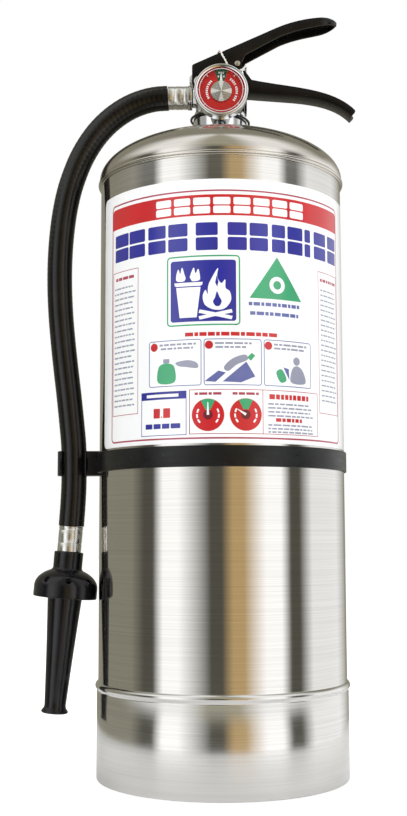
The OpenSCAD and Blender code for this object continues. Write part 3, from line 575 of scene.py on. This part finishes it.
dress(refine("valve_body", 0.5), plated, "tank", "chrome", "valve_body")
dress(refine("hose_coupling", 0.3), plated, "tank", "chrome", "hose_coupling")
dress(refine("carry_handle", 0.45), powder_black, "tank", "black_paint", "carry_handle")
dress(refine("squeeze_lever", 0.45), powder_black, "lever", "black_paint", "squeeze_lever")
dress(refine("lever_pivot", 0.35), plated, "tank", "chrome", "lever_pivot")
dress(refine("handle_rivets", 0.25), zinc, "tank", "zinc", "handle_rivets")
dress(refine("service_collar", 0.3), satin_black, "collar", "black_strap", "service_collar")

# %% [markdown]
# The upper ferrule is the same crimped sleeve as the lower one, turned on its side to lie along the
# outlet.

# %% Upper ferrule
outlet_z = 533
ferrule_start = -25.9
outlet_axis = (Matrix.Translation((ferrule_start * MM, 0, outlet_z * MM))
    @ Matrix.Rotation(math.radians(90), 4, "Y"))
upper = lathe("upper_ferrule_crimped", ferrule_outline(-HOSE_ROUTE[0][0] + ferrule_start, 9.2, 6.2), 96,
    outlet_axis, sharp=math.radians(50))
dress(upper, satin_plated, "tank", "chrome", "upper_ferrule")

# %% [markdown]
# ## Pressure gauge
# A shallow spun case, a bezel rolled over the lens, a printed tin dial and a turned hub that holds
# the pointer. All are lathe work on one axis that points forwards. The bright fan across the hub is
# a painted highlight: its base colour is tinted lighter in lobes by the angle round the axis.

# %% Gauge case, bezel and lens
gauge_x, gauge_z = 1, 524
gauge_axis = Matrix.Translation((gauge_x * MM, 0, gauge_z * MM)) @ Matrix.Rotation(math.radians(90), 4, "X")
gauge_r, gauge_back, gauge_front = 20.5, 30.5, 42.5

case = lathe("gauge_case_spun", [(4.8, gauge_back), (gauge_r - 1.4, gauge_back)]
    + arc(gauge_r - 1.4, gauge_back + 1.4, 1.4, -90, 0, 5) + [(gauge_r, gauge_front - 3),
    (gauge_r - 0.8, gauge_front - 3), (gauge_r - 0.8, gauge_back + 1.8), (gauge_r - 1.6, gauge_back + 0.8),
    (4.8, gauge_back + 0.8)], 128, gauge_axis)
dress(case, plated, "tank", "chrome", "gauge_case")
bezel_r = gauge_r + 0.5
bezel = lathe("gauge_bezel_rolled", [(gauge_r + 0.02, gauge_front - 3), (bezel_r - 0.3, gauge_front - 3)]
    + arc(bezel_r - 0.3, gauge_front - 2.7, 0.3, -90, 0, 3) + arc(bezel_r - 1.2, gauge_front - 1.2, 1.2, 0,
    100, 8) + [(gauge_r - 1.9, gauge_front - 0.3), (gauge_r - 2.2, gauge_front - 0.6),
    (gauge_r - 2.2, gauge_front - 0.7), (gauge_r - 0.9, gauge_front - 0.7),
    (gauge_r - 0.9, gauge_front - 2.9)], 128, gauge_axis)
dress(bezel, plated, "tank", "chrome", "gauge_bezel")
lens_low = gauge_front - 1.6
lens = lathe("gauge_lens_domed", [(0.001, lens_low), (gauge_r - 1, lens_low),
    (gauge_r - 1, lens_low + 0.7), (gauge_r - 2.4, lens_low + 0.72), (gauge_r - 7, lens_low + 0.85),
    (0.001, lens_low + 0.9)], 96, gauge_axis)
dress(lens, clear, "tank", "lens_clear", "gauge_lens")
# The lens step is a thin pale ring, half opaque. Its whiteness is a painted highlight round the lens edge,
# not the colour of clear plastic.
painted_lens_rim_highlight = Finish("lens_rim_painted_highlight", (0.85, 0.86, 0.88), Alpha=0.5)
painted_lens_rim_highlight.rough(painted_lens_rim_highlight.noise(200.0), 0.05, 0.15)
step = lathe("gauge_lens_step", arc(gauge_r - 3.6, lens_low + 0.72, 0.32, 0, 315, 7), 96, gauge_axis)
dress(step, painted_lens_rim_highlight, "tank", "lens_clear")


# %% [markdown]
# The dial's print is drawn flat and then set a hair above the tin. A green sector at the top marks
# the working pressure, and short bars stand where a real dial would have words.

# %% Gauge dial
def flat_shapes(name, shapes, low, high, place):
    """Flat outlines, each a list of (x, y) points in order, as thin plates between two heights."""
    verts, faces = [], []
    for shape in shapes:
        start, n = len(verts), len(shape)
        verts += [(x, y, high) for x, y in shape] + [(x, y, low) for x, y in shape]
        faces.append(tuple(range(start, start + n)))
        faces.append(tuple(range(start + n, start + 2 * n))[::-1])
        faces += [(start + i, start + n + i, start + n + (i + 1) % n, start + (i + 1) % n)
            for i in range(n)]
    return make_piece(name, verts, faces, place)


def sector(r0, r1, a0, a1, n=12):
    """A ring sector between two radii and two angles, as one outline."""
    return arc(0, 0, r1, a0, a1, n) + arc(0, 0, r0, a0, a1, n)[::-1]


dial_h = gauge_front - 4.6
dial = lathe("gauge_dial_tin", [(2, dial_h - 0.5), (gauge_r - 0.9, dial_h - 0.5), (gauge_r - 0.9, dial_h),
    (2, dial_h)], 96, gauge_axis)
dress(dial, ink_dial, "tank", "dial_print", "gauge_dial")
print_place = gauge_axis @ Matrix.Diagonal((1.08, 1.08, 1, 1))
green = flat_shapes("dial_green_sector", [sector(7.6, 17.0, 73, 107)], dial_h + 0.005, dial_h + 0.03,
    print_place)
dress(green, ink_leaf, "tank", "dial_print")

dial_marks = [sector(14.4, 16.8, a - 0.9, a + 0.9, 2) for a in (-38, 218, 50, 130)]
dial_marks += [sector(15.4, 16.8, a - 0.6, a + 0.6, 2) for a in (-16, 6, 28, 152, 174, 196)]
dial_marks += [sector(9.6, 11.2, a - 2.6, a + 2.6, 3) for a in (134, 142, 150, 160, 168, 176, 184, 192,
    200, 208)]
dial_marks += [sector(10.4, 12.0, a - 2.4, a + 2.4, 3) for a in (52, 44, 36, 28, 16, 8, 0, -8, -20, -28,
    -36)]
dial_marks += [sector(13.2, 14.6, a - 1.6, a + 1.6, 2) for a in (84, 90, 96)]
dial_marks += [sector(10.6, 11.8, a - 2.2, a + 2.2, 2) for a in (80, 100)]
marks = flat_shapes("dial_marks", dial_marks, dial_h + 0.035, dial_h + 0.06, print_place)
dress(marks, ink_white, "tank", "dial_print")

# %% Needle and hub
turned = Finish("turned_hub_painted_fan", (0.42, 0.41, 0.37), Metallic=0.55)
apart = turned.node("ShaderNodeSeparateXYZ", Vector=turned.place)
across = turned.maths("SUBTRACT", apart.outputs["X"], gauge_x * MM)
above = turned.maths("SUBTRACT", apart.outputs["Z"], gauge_z * MM)
# The bright fan is a painted highlight. Lobes of lighter base colour, set by the angle round the gauge axis,
# stand in for light caught by circular turning marks.
painted_fan_arms = 4
painted_fan_lobes = turned.maths("MULTIPLY", turned.maths("ARCTAN2", across, above), painted_fan_arms)
turned.tint(turned.maths("COSINE", painted_fan_lobes), (0.92, 0.92, 0.89))
turned.rough(turned.noise(900.0), 0.22, 0.30)

needle_h = dial_h + 0.9
hub_r = 8.2
hub = lathe("needle_hub", [(1.08, needle_h - 0.5), (hub_r - 0.2, needle_h - 0.5), (hub_r, needle_h - 0.3),
    (hub_r, needle_h), (hub_r - 0.15, needle_h + 0.15), (2.0, needle_h + 0.95), (1.4, needle_h + 1.0),
    (0.001, needle_h + 1.0), (0.001, needle_h + 0.6), (1.08, needle_h + 0.6)], 96, gauge_axis,
    sharp=math.radians(12))
dress(hub, turned, "needle", "needle_metal", "gauge_needle")
pointer = flat_shapes("needle_pointer", [[(-1.1, hub_r - 1), (1.1, hub_r - 1), (0.62, hub_r + 4.6),
    (0, hub_r + 6), (-0.62, hub_r + 4.6)]], needle_h - 0.45, needle_h, gauge_axis)
edit(pointer, rounded(0.08, 2))
dress(pointer, milky, "needle", "needle_metal")

# %% [markdown]
# ## Pin, ring and seal
# The pin is brass rod with a flattened eye; its CAD solid is right. The ring is bent wire, so it
# gets the small gap where its two ends meet. The tamper seal is a beaded plastic strip, thin at the
# beads' necks, that snaps when the pin is pulled.

# %% Pin and ring
dress(refine("pull_pin", 0.25), satin_plated, "pin", "brass", "pull_pin")
pin_x, pin_z, eye_y, ring_r, ring_tilt = 14.1, 557, 21.3, 14.1, 35
ring_place = (Matrix.Translation((pin_x * MM, eye_y * MM, pin_z * MM))
    @ Matrix.Rotation(math.radians(ring_tilt), 4, "Y") @ Matrix.Translation((0, 0, -ring_r * MM))
    @ Matrix.Rotation(math.radians(90), 4, "X"))
gap = 2.5
turns = [(ring_r * math.cos(math.radians(a)), ring_r * math.sin(math.radians(a)), 0)
    for a in [-90 + gap + (360 - 2 * gap) * i / 96 for i in range(97)]]
ring = sweep("pull_ring_wire", turns, 1.1, 20, place=ring_place)
dress(ring, zinc, "ring", "zinc", "pull_ring")

# %% Tamper seal
seal_y, crown_y = 11.95, 21.3
SEAL_ROUTE = [
    (-2, seal_y, 562), (-3, seal_y - 0.2, 567.2), (-2, 6, 568.6), (-1, -6, 569), (0.5, -seal_y + 0.4, 568),
    (1.8, -seal_y, 564.5), (4.2, -seal_y, 560), (6.8, -seal_y, 555), (11, -seal_y, 551), (17, -seal_y, 551.4),
    (20.4, -seal_y + 2.6, 555.2), (21, -6, 556.6), (21, 6, 556.6), (22.5, crown_y - 6, 556),
    (23, crown_y - 1, 558),
    (20, crown_y + 3.4, 561), (14, crown_y + 4.6, 562.6), (8.5, crown_y + 3, 560), (6.5, crown_y, 555.8),
    (3, crown_y - 5, 556), (0, seal_y + 0.4, 558), (-2, seal_y, 562),
]
bead_pitch = 2.5
seal = sweep("tamper_seal_beaded", smooth_path(SEAL_ROUTE, 14)[:-1], lambda run, a: 0.45
    + 0.42 * abs(math.sin(math.pi * run / bead_pitch)), 10, closed=True)
dress(seal, milky, "lever", "white_plastic", "tamper_seal")

# %% [markdown]
# ## Strap, buckle and clip
# The strap is a moulded band with soft edges. The clip holds the hose in an open jaw.

# %% Strap and clip
strap_low, strap_high = node_box("strap_band")
band_in, band_out, soft = tank_r + 0.02, strap_high[0], 0.5
strap = lathe("strap_band_moulded", [(band_in, strap_low[2]), (band_out - soft, strap_low[2])]
    + arc(band_out - soft, strap_low[2] + soft, soft, -90, 0, 4)
    + arc(band_out - soft, strap_high[2] - soft, soft, 0, 90, 4) + [(band_in, strap_high[2])], 256)
dress(strap, satin_black, "tank", "black_strap", "strap_band")
dress(refine("strap_buckle", 0.7, 3), satin_black, "tank", "black_strap", "strap_buckle")
dress(refine("hose_clip", 0.55, 3), gloss_black, "tank", "black_strap", "hose_clip")

# %% [markdown]
# ## Label
# The label is one vinyl sheet wrapped round the shell. Its print is thin shapes in one ink each,
# drawn flat in millimetres from the front centre line and the floor, sliced into narrow strips, and
# then bent round the tank. Words are only bars and blocks, so the label says nothing.

# %% Label tools
label_low, label_high = node_box("label")
sheet_in, sheet_t = tank_r + 0.02, 0.25
sheet_out = sheet_in + sheet_t
ink_t = 0.025
STRIP = 3.0


def on_tank(s, z, r):
    """The point s millimetres round the tank from the front, at height z and radius r."""
    return (r * math.sin(s / sheet_out), -r * math.cos(s / sheet_out), z)


def wrap(name, shapes, low, high):
    """Flat outlines of (s, z) as thin plates bent round the tank between two radii."""
    obj = flat_shapes(name, shapes, 0, 1, Matrix.Identity(4))
    bm = bmesh.new()
    bm.from_mesh(obj.data)
    first = min(v.co.x for v in bm.verts) / MM
    last = max(v.co.x for v in bm.verts) / MM
    cut = math.floor(first / STRIP) * STRIP + STRIP
    while cut < last:
        bmesh.ops.bisect_plane(bm, geom=bm.verts[:] + bm.edges[:] + bm.faces[:], plane_co=(cut * MM, 0, 0),
            plane_no=(1, 0, 0))
        cut += STRIP
    for v in bm.verts:
        s, z, top = v.co.x / MM, v.co.y / MM, v.co.z / MM
        v.co = Vector(on_tank(s, z, low + (high - low) * top)) * MM
    bmesh.ops.recalc_face_normals(bm, faces=bm.faces)
    bm.to_mesh(obj.data)
    bm.free()
    obj.data.shade_smooth()
    obj.data.set_sharp_from_angle(angle=math.radians(30))
    return obj


def printed(name, shapes, ink_finish, layer=1):
    """A print in one ink, a layer above the sheet."""
    obj = wrap(name, shapes, sheet_out + (layer - 1) * ink_t + 0.004, sheet_out + layer * ink_t)
    return dress(obj, ink_finish, "tank", "label_print")


def box(s0, z0, s1, z1, r=0.0, corners="abcd"):
    """A rectangle with round corners: a low left, b low right, c high right, d high left."""
    out = []
    spots = (("a", s0 + r, z0 + r, 180), ("b", s1 - r, z0 + r, 270), ("c", s1 - r, z1 - r, 0),
        ("d", s0 + r, z1 - r, 90))
    square = {"a": (s0, z0), "b": (s1, z0), "c": (s1, z1), "d": (s0, z1)}
    for key, cs, cz, start in spots:
        if r > 0 and key in corners:
            out += arc(cs, cz, r, start, start + 90, 5)
        else:
            out.append(square[key])
    return out


def frame_bars(s0, z0, s1, z1, w, r=0.0):
    """A frame of line width w, as pieces that meet at its corners."""
    outer, inner = box(s0, z0, s1, z1, r), box(s0 + w, z0 + w, s1 - w, z1 - w, max(r - w, 0) or 0.01)
    if len(inner) != len(outer):
        outer = box(s0, z0, s1, z1, 0.02)
    n = len(outer)
    return [[outer[i], outer[(i + 1) % n], inner[(i + 1) % n], inner[i]] for i in range(n)]


def disc(s, z, r, n=28):
    return [(s + r * math.cos(2 * math.pi * i / n), z + r * math.sin(2 * math.pi * i / n))
        for i in range(n)]


def moved(shape, s, z):
    return [(x + s, y + z) for x, y in shape]


words = random.Random(7)


def text_row(s0, s1, z, h, ragged=0.0):
    """A row of bars as long as words, from s0 to about s1."""
    out, s, end = [], s0, s1 - ragged * words.random() * (s1 - s0)
    while s < end - 1.2:
        length = min(words.uniform(2.0, 6.5), end - s)
        out.append(box(s, z, s + length, z + h))
        s += length + 0.9
    return out


def blocks(spans, z0, z1, slit=0.0, r=0.8):
    """Headline blocks at given spans, each split by a slit."""
    out = []
    mid = (z0 + z1) / 2
    for s0, s1 in spans:
        if slit:
            out += [box(s0, z0, s1, mid - slit / 2, r), box(s0, mid + slit / 2, s1, z1, r)]
        else:
            out.append(box(s0, z0, s1, z1, r))
    return out


# %% Label sheet and border
sheet = wrap("label_sheet", [box(-112.6, label_low[2], 134.2, label_high[2], 5)], sheet_in, sheet_out)
dress(sheet, vinyl, "tank", "label_print", "label")
printed("label_border", frame_bars(-98, 249, 112, 429, 1.2, 4), ink_rose)

# %% [markdown]
# The red banner and the blue headline are the label's two loud lines. Each word becomes a row of
# blocks with round corners.

# %% Banner and headline
printed("label_banner", [box(-97, 410, 111, 425.5, 3, "cd")], ink_red)
banner_spans = [(-49 + i * 14.6, -49 + i * 14.6 + 12.4) for i in range(8)]
printed("label_banner_blocks", blocks(banner_spans, 411.6, 423.4, 1.0, 1.2), ink_white, 2)
headline_spans = [(-93, -76), (-75, -59), (-56, -41), (-39, -24), (-18, -2), (5, 19), (21, 35), (38, 49),
    (51, 65), (67, 73), (77, 92), (95, 109)]
printed("label_headline", blocks(headline_spans, 384.6, 405.0, 1.3, 1.2), ink_blue)

# %% [markdown]
# The pictogram shows what the water is for: a burning bucket and a campfire, white on a blue square
# with a green outline. Flames are closed outlines through a few points, rounded by a smooth curve.

# %% Pictogram
def rounded_outline(points, per_span=5):
    """A smooth closed outline through the points."""
    n = len(points)
    out = []
    for i in range(n):
        four = [Vector(points[(i + k) % n]) for k in (-1, 0, 1, 2)]
        out += [tuple(between(*four, step / per_span)) for step in range(per_span)]
    return out


printed("pictogram_outline", frame_bars(-40, 330, 14, 381, 1.1, 3), ink_green)
printed("pictogram_square", [box(-37, 333, 11, 377.5, 2)], ink_blue)
bucket = [(-34, 361.5), (-13, 361.5), (-13.4, 359.4), (-14.4, 359.2), (-17.4, 336), (-30.0, 336),
    (-32.8, 359.2), (-33.8, 359.4)]
bucket_flames = [rounded_outline([(-32, 362.8), (-32.6, 367), (-31, 371.4), (-29.6, 368.2), (-28.2, 372.6),
    (-26.4, 367.6), (-25.6, 363)]), rounded_outline([(-22.4, 362.8), (-21.4, 368.4), (-19.4, 372.2),
    (-18.2, 368), (-16.2, 371.2), (-15, 366.4), (-15.6, 362.8)])]
fire = rounded_outline([(-6, 341.6), (-11.4, 345), (-13, 351), (-11, 355.6), (-9.4, 352.6), (-9, 358.6),
    (-6.6, 364), (-2, 371.4), (-2.6, 365), (0.4, 360.4), (3.2, 363), (3.4, 357), (6.4, 354.4),
    (7.4, 348.6), (4.4, 343.4), (0, 341.2)])
fire_eye = rounded_outline([(-3.8, 344), (-5.6, 347), (-4.2, 350), (-2.8, 354.4), (-1, 350.6),
    (0.6, 347.2), (-1, 344)])
logs = [[(-16, 339.2), (-15.2, 341.6), (8.4, 336.6), (7.6, 334.2)],
    [(-15.2, 334.2), (-16, 336.6), (7.6, 341.6), (8.4, 339.2)]]
printed("pictogram_bucket", [bucket] + bucket_flames, ink_white, 2)
printed("pictogram_fire", [fire] + logs[:1], ink_white, 2)
printed("pictogram_fire_eye", [fire_eye, [(-4, 361), (-3, 366), (-1.6, 361.4), (-2.6, 357.6)]]
        + [box(-33.4, 358.0, -13.8, 358.8), [(-26.8, 362), (-23.7, 367.4), (-20.6, 362)]], ink_blue, 3)
printed("pictogram_logs", logs[1:], ink_white, 4)

# %% [markdown]
# Beside it stands a green triangle for the class of fire, with a plain ring in place of a letter,
# and two short lines under it. The narrow columns at the sides hold small print.

# %% Triangle and side columns
printed("class_triangle", [[(42, 381), (20.6, 350), (63, 350)]], ink_green)
ring_mark = [moved(sector(3.2, 6.2, a, a + 180, 12), 42, 360.4) for a in (0, 180)]
printed("class_ring_mark", ring_mark, ink_white, 2)
printed("class_lines", text_row(20, 62, 344.6, 2.6) + text_row(21, 60, 337.8, 2.6), ink_slate)

left_rows, right_rows = [], []
for i in range(23):
    left_rows += text_row(-93.6, -68, 363.6 - i * 4.0, 1.15, 0.12)
    right_rows += text_row(84.4, 108.6, 361.6 - i * 3.75, 1.15, 0.15)
printed("column_left", left_rows, ink_grey)
printed("column_right", right_rows, ink_grey)
printed("column_frames", frame_bars(-96, 269, -65.4, 377, 0.5) + frame_bars(81.4, 270, 110.2, 376, 0.5)
        + text_row(-92, -70, 370.2, 2.2) + text_row(84, 108, 368.6, 2.2), ink_rose)

# %% [markdown]
# The middle row shows three steps of use. Each panel has a numbered dot, here left blank, and plain
# figures of an extinguisher, a handle and a spray.

# %% Steps of use
printed("steps_caption", text_row(-26, 43, 322.4, 2.8), ink_red)
printed("steps_frame", [bar for s0, s1 in ((-55, -14), (-12.4, 29.4), (31, 72))
    for bar in frame_bars(s0, 287, s1, 320.4, 0.6, 2)], ink_slate)
printed("steps_dots", [disc(-50.5, 316, 3.0), disc(-8.6, 316, 3.0), disc(34.6, 316, 3.0)], ink_red)
printed("steps_words", text_row(-46, -18, 316.4, 1.4) + text_row(-45, -20, 313.6, 1.4)
    + text_row(-4.4, 22, 316.4, 1.4) + text_row(-4, 18, 313.6, 1.4) + text_row(39, 69, 316.4, 1.4)
    + text_row(39, 67, 313.6, 1.4), ink_grey)
bottle = rounded_outline([(-47, 290), (-47, 300.6), (-43, 303.6), (-38, 303.6), (-34, 300.6), (-34, 290)],
    4)
hand = rounded_outline([(-33, 304), (-24, 305.4), (-17.4, 303.4), (-17, 299.6), (-25, 300.4), (-31, 301.4)])
printed("steps_green", [bottle, rounded_outline([(44, 290), (40.6, 297), (45.2, 299.4), (49, 292)]),
    [(18.6, 307), (22, 310.4), (24.6, 308.4), (21.4, 304.6)]], ink_green)
printed("steps_figures", [box(-43, 304, -38, 307), hand, rounded_outline([(2, 300), (8, 306), (17, 309),
    (19, 305.4), (11, 301.6), (5, 297)]), disc(58, 306, 3.0), rounded_outline([(53, 290.4), (54, 300),
    (58.6, 302.6), (64, 299), (66, 290.4)])], ink_grey)
printed("steps_spray", [[(1, 289.6), (18, 304), (24.6, 293.4), (14, 289)],
    [(-11.8, 290), (-2, 297.4), (3.4, 296), (-4, 289.4)], [(51.4, 292), (51, 300), (46.4, 301)]],
    ink_slate)

# %% [markdown]
# The bottom row has the capacity box, two small dials that show a full and an empty gauge, and a
# warning block.

# %% Bottom row
printed("capacity_frame", frame_bars(-62, 252, -25, 283.6, 0.5) + [box(-61.6, 278, -25.4, 283.2)], ink_blue)
printed("capacity_words", [box(-57, 279.6, -31, 281.8)], ink_white, 2)
printed("capacity_red", blocks([(-51, -45.6), (-43, -37.4)], 264.6, 271.6, 0, 0.6)
    + [disc(-44.3, 265.4, 0.6, 8)], ink_red)
printed("capacity_unit", blocks([(-58, -52), (-51, -45), (-44, -38), (-37, -29.6)], 257.0, 260.6, 0, 0.4),
    ink_blue)
printed("dials_frame", frame_bars(-23, 252.4, 79, 284.2, 0.5) + [box(29.8, 252.8, 30.3, 283.8)]
        + text_row(-19, 1, 280.2, 1.8) + text_row(8, 27, 280.2, 1.8), ink_rose)
HAND_UP = [(-0.9, 0), (0.9, 0), (0.25, 9), (-0.25, 9)]
HAND_LEFT = [(0.5, 0.8), (-0.5, -0.8), (-7, 4.4)]
for number, (s, z, small_hand) in enumerate(((-9.5, 266, HAND_UP), (17.5, 266.2, HAND_LEFT))):
    printed(f"small_dial_{number}", [disc(s, z, 11.6, 40)], ink_red)
    printed(f"small_dial_sector_{number}", [moved(sector(3.8, 11.4, 64, 116, 8), s, z)], ink_green, 3)
    arcs = [moved(sector(7.2, 8.4, a, a + 20, 5), s, z) for a in (-44, -16, 12, 148, 176, 204)]
    printed(f"small_dial_marks_{number}", arcs, ink_white, 2)
    printed(f"small_dial_hub_{number}", [disc(s, z, 3.4, 24)], ink_deep, 2)
    printed(f"small_dial_hand_{number}", [moved(small_hand, s, z)], ink_white, 4)
printed("warning_words", text_row(35, 69, 277.6, 3.6) + text_row(40, 63, 261.6, 2.6), ink_red)
warning_rows = []
for z in (273.6, 270.8, 268, 265.2, 258.6, 256, 253.6):
    warning_rows += text_row(34, 75, z, 1.2, 0.15)
printed("warning_rows", warning_rows, ink_grey)

# %% [markdown]
# ## Finishes for the pieces inside
# Everything hidden in the valve, the gauge and the tank keeps its CAD shape and gets its own metal,
# rubber or plastic, so that the parts look right when they are taken apart.

# %% Inner pieces
for name, finish in {
        "bottom_dome": steel, "neck_oring": soft_rubber, "valve_stem": brass, "stem_seal": soft_rubber,
        "stem_gland": brass, "stem_oring": soft_rubber, "stem_spring": zinc, "siphon_nipple": brass,
        "siphon_tube": milky, "gauge_socket": brass, "gauge_gasket": soft_rubber, "bourdon_tube": brass,
        "gauge_pivot": zinc, "coupling_washer": soft_rubber, "hose_tail": brass}.items():
    dress_node(name, finish)

# %% [markdown]
# ## Floor, room and lights
# Polished steel looks like whatever stands around it, so the room matters more here than the metal.
# A studio surrounds a tank with dark flags and bright strips, which the cylinder shows as upright
# bands. The room is the world shader: an even white for diffuse light, plain white behind the
# object, and the bands only for glossy rays. A white table under the tank lights its foot.

# %% Panels of the room
# A plain studio, the same at both sides: a strip box, then a dark flag, then the wall. A third flag
# stands in front, with one warm card beside it, and the right wall is nearer and brighter than the
# left. Each panel runs from one angle to another, in degrees from the front. Between two panels the
# room blends from one to the next. Higher up, only the boxes' wide glow is left.
PLAIN, OLIVE, AMBER = (1, 1, 1), (1, 0.98, 0.88), (1, 0.85, 0.6)
LIT, GLOW, GREY, DARK = 1.0, 0.9, 0.5, 0.3
BANDS = [
    (-180, -90, GREY, OLIVE), (-75, -65, DARK, OLIVE), (-55, -40, LIT, PLAIN), (-10, 0, DARK, OLIVE),
    (10, 20, 0.7, AMBER), (40, 55, LIT, PLAIN), (65, 75, DARK, OLIVE), (90, 130, GLOW, PLAIN),
    (160, 180, GREY, OLIVE),
]
DOME_BANDS = [
    (-180, -120, GREY, OLIVE), (-75, -40, GLOW, PLAIN), (-15, 15, 0.6, OLIVE), (40, 75, GLOW, PLAIN),
    (120, 180, GREY, OLIVE),
]
# The bands end and the dome's panels begin between these two heights of a ray's direction.
DOME_FROM, DOME_TO = 0.22, 0.55
steel_shine, even_light = 0.72, 0.72
WHITE = (1, 1, 1)


def linear(v):
    return v / 12.92 if v <= 0.04045 else ((v + 0.055) / 1.055) ** 2.4


world = bpy.data.worlds.new("studio")
bpy.context.scene.world = world
world.use_nodes = True
tree = world.node_tree
tree.nodes.clear()


def world_node(kind, **settings):
    node = tree.nodes.new(kind)
    for key, value in settings.items():
        setattr(node, key, value)
    return node


def join(source, target):
    tree.links.new(source, target)


def band_ramp(bands, around):
    """A ramp of colours by the angle round the tank, with a stop at each side of every panel."""
    ramp = world_node("ShaderNodeValToRGB")
    stops = ramp.color_ramp.elements
    while len(stops) > 1:
        stops.remove(stops[-1])
    sides = [(angle, shade, tint) for start, end, shade, tint in bands for angle in (start, end)]
    for i, (angle, shade, tint) in enumerate(sides):
        position = (angle + 180) / 360
        stop = stops[0] if i == 0 else stops.new(position)
        stop.position = position
        stop.color = (*[linear(shade * part) for part in tint], 1)
    join(around, ramp.inputs["Fac"])
    return ramp.outputs["Color"]


def background(color, strength):
    """Light from all round, of one colour or of a socket's colours."""
    light = world_node("ShaderNodeBackground")
    light.inputs["Strength"].default_value = strength
    if hasattr(color, "links"):
        join(color, light.inputs["Color"])
    else:
        light.inputs["Color"].default_value = (*color, 1)
    return light.outputs[0]


def choose(kind, other, light):
    """One light for a kind of ray, and another for the rest."""
    mix = world_node("ShaderNodeMixShader")
    join(kind, mix.inputs["Fac"])
    join(other, mix.inputs[1])
    join(light, mix.inputs[2])
    return mix.outputs[0]


way = world_node("ShaderNodeTexCoord").outputs["Generated"]
parts = world_node("ShaderNodeSeparateXYZ")
join(way, parts.inputs[0])
flip = world_node("ShaderNodeMath", operation="MULTIPLY")
flip.inputs[1].default_value = -1
join(parts.outputs["Y"], flip.inputs[0])
turned_by = world_node("ShaderNodeMath", operation="ARCTAN2")
join(parts.outputs["X"], turned_by.inputs[0])
join(flip.outputs[0], turned_by.inputs[1])
around = world_node("ShaderNodeMapRange")
for key, number in (("From Min", -math.pi), ("From Max", math.pi), ("To Min", 0), ("To Max", 1)):
    around.inputs[key].default_value = number
join(turned_by.outputs[0], around.inputs["Value"])
high_up = world_node("ShaderNodeMapRange", interpolation_type="SMOOTHSTEP")
high_up.inputs["From Min"].default_value = DOME_FROM
high_up.inputs["From Max"].default_value = DOME_TO
join(parts.outputs["Z"], high_up.inputs["Value"])
room = world_node("ShaderNodeMix", data_type="RGBA")
join(high_up.outputs["Result"], room.inputs["Factor"])
join(band_ramp(BANDS, around.outputs["Result"]), room.inputs["A"])
join(band_ramp(DOME_BANDS, around.outputs["Result"]), room.inputs["B"])
seen = world_node("ShaderNodeLightPath")
glossy_room = background(room.outputs["Result"], 1 / steel_shine)
by_gloss = choose(seen.outputs["Is Glossy Ray"], background(WHITE, even_light), glossy_room)
by_eye = choose(seen.outputs["Is Camera Ray"], by_gloss, background(WHITE, 1.0))
out = world_node("ShaderNodeOutputWorld")
join(by_eye, out.inputs["Surface"])
print("room bands:", len(BANDS), "and", len(DOME_BANDS), "for the dome")

# %% [markdown]
# The floor is a wide pale sheet. Mirror-like metal would show its far edge as a hard line, so only
# the round table top near the tank is seen in reflections, and it fades out towards its edge.

# %% Floor and table
FLOOR_Z, FLOOR_GLOW, TABLE_R, FADE_START = -0.6, 0.45, 480, 0.10


def white_paint(name):
    """Matt white paint with faint blotches."""
    paint = Finish(name, (0.93, 0.93, 0.93))
    return paint.rough(paint.noise(3.0), 0.75, 0.9).tint(paint.noise(1.5), (0.92, 0.92, 0.92))


pale = white_paint("pale_floor")
floor_corners = [(x, y, FLOOR_Z) for x, y in ((-6000, -3000), (6000, -3000), (6000, 9000), (-6000, 9000))]
floor = make_piece("floor", floor_corners, [(0, 1, 2, 3)])
pale.shader.inputs["Emission Color"].default_value = (1, 1, 1, 1)
pale.shader.inputs["Emission Strength"].default_value = FLOOR_GLOW
floor.data.materials.append(pale.material)
floor.visible_glossy = False
table = lathe("table_top", [(0.001, -0.5), (TABLE_R, -0.5), (TABLE_R, -0.05), (0.001, -0.05)], 96)
lacquer = white_paint("table_lacquer")
reach = lacquer.tree.nodes.new("ShaderNodeVectorMath")
reach.operation = "LENGTH"
lacquer.tree.links.new(lacquer.place, reach.inputs[0])
fade = lacquer.spread(reach.outputs["Value"], 0.85, 0.0, FADE_START, TABLE_R * MM)
lacquer.tree.links.new(fade, lacquer.shader.inputs["Alpha"])
table.data.materials.append(lacquer.material)
table.visible_camera = False


# %% [markdown]
# Three soft boxes hang above and in front. Metal doesn't mirror them, so the steel shows only the
# bands of the room.

# %% Lights
def soft_light(name, place, aim, size, power, color=(1, 1, 1)):
    """A soft box at place that looks at aim, in metres and watts."""
    data = bpy.data.lights.new(name, "AREA")
    data.shape = "RECTANGLE"
    data.size, data.size_y = size
    data.energy = power
    data.color = color
    lamp = bpy.data.objects.new(name, data)
    lamp.visible_glossy = False
    lamp.location = place
    lamp.rotation_euler = (Vector(aim) - Vector(place)).to_track_quat("-Z", "Y").to_euler()
    bpy.context.scene.collection.objects.link(lamp)


soft_light("key_soft_box", (0.9, -1.1, 2.0), (0, 0, 0.45), (0.9, 0.6), 16)
soft_light("fill_soft_box", (-1.2, -0.8, 1.8), (0, 0, 0.4), (0.7, 0.7), 7)
soft_light("top_soft_box", (0.1, 0.5, 2.1), (0, 0, 0.5), (1.2, 0.6), 8)
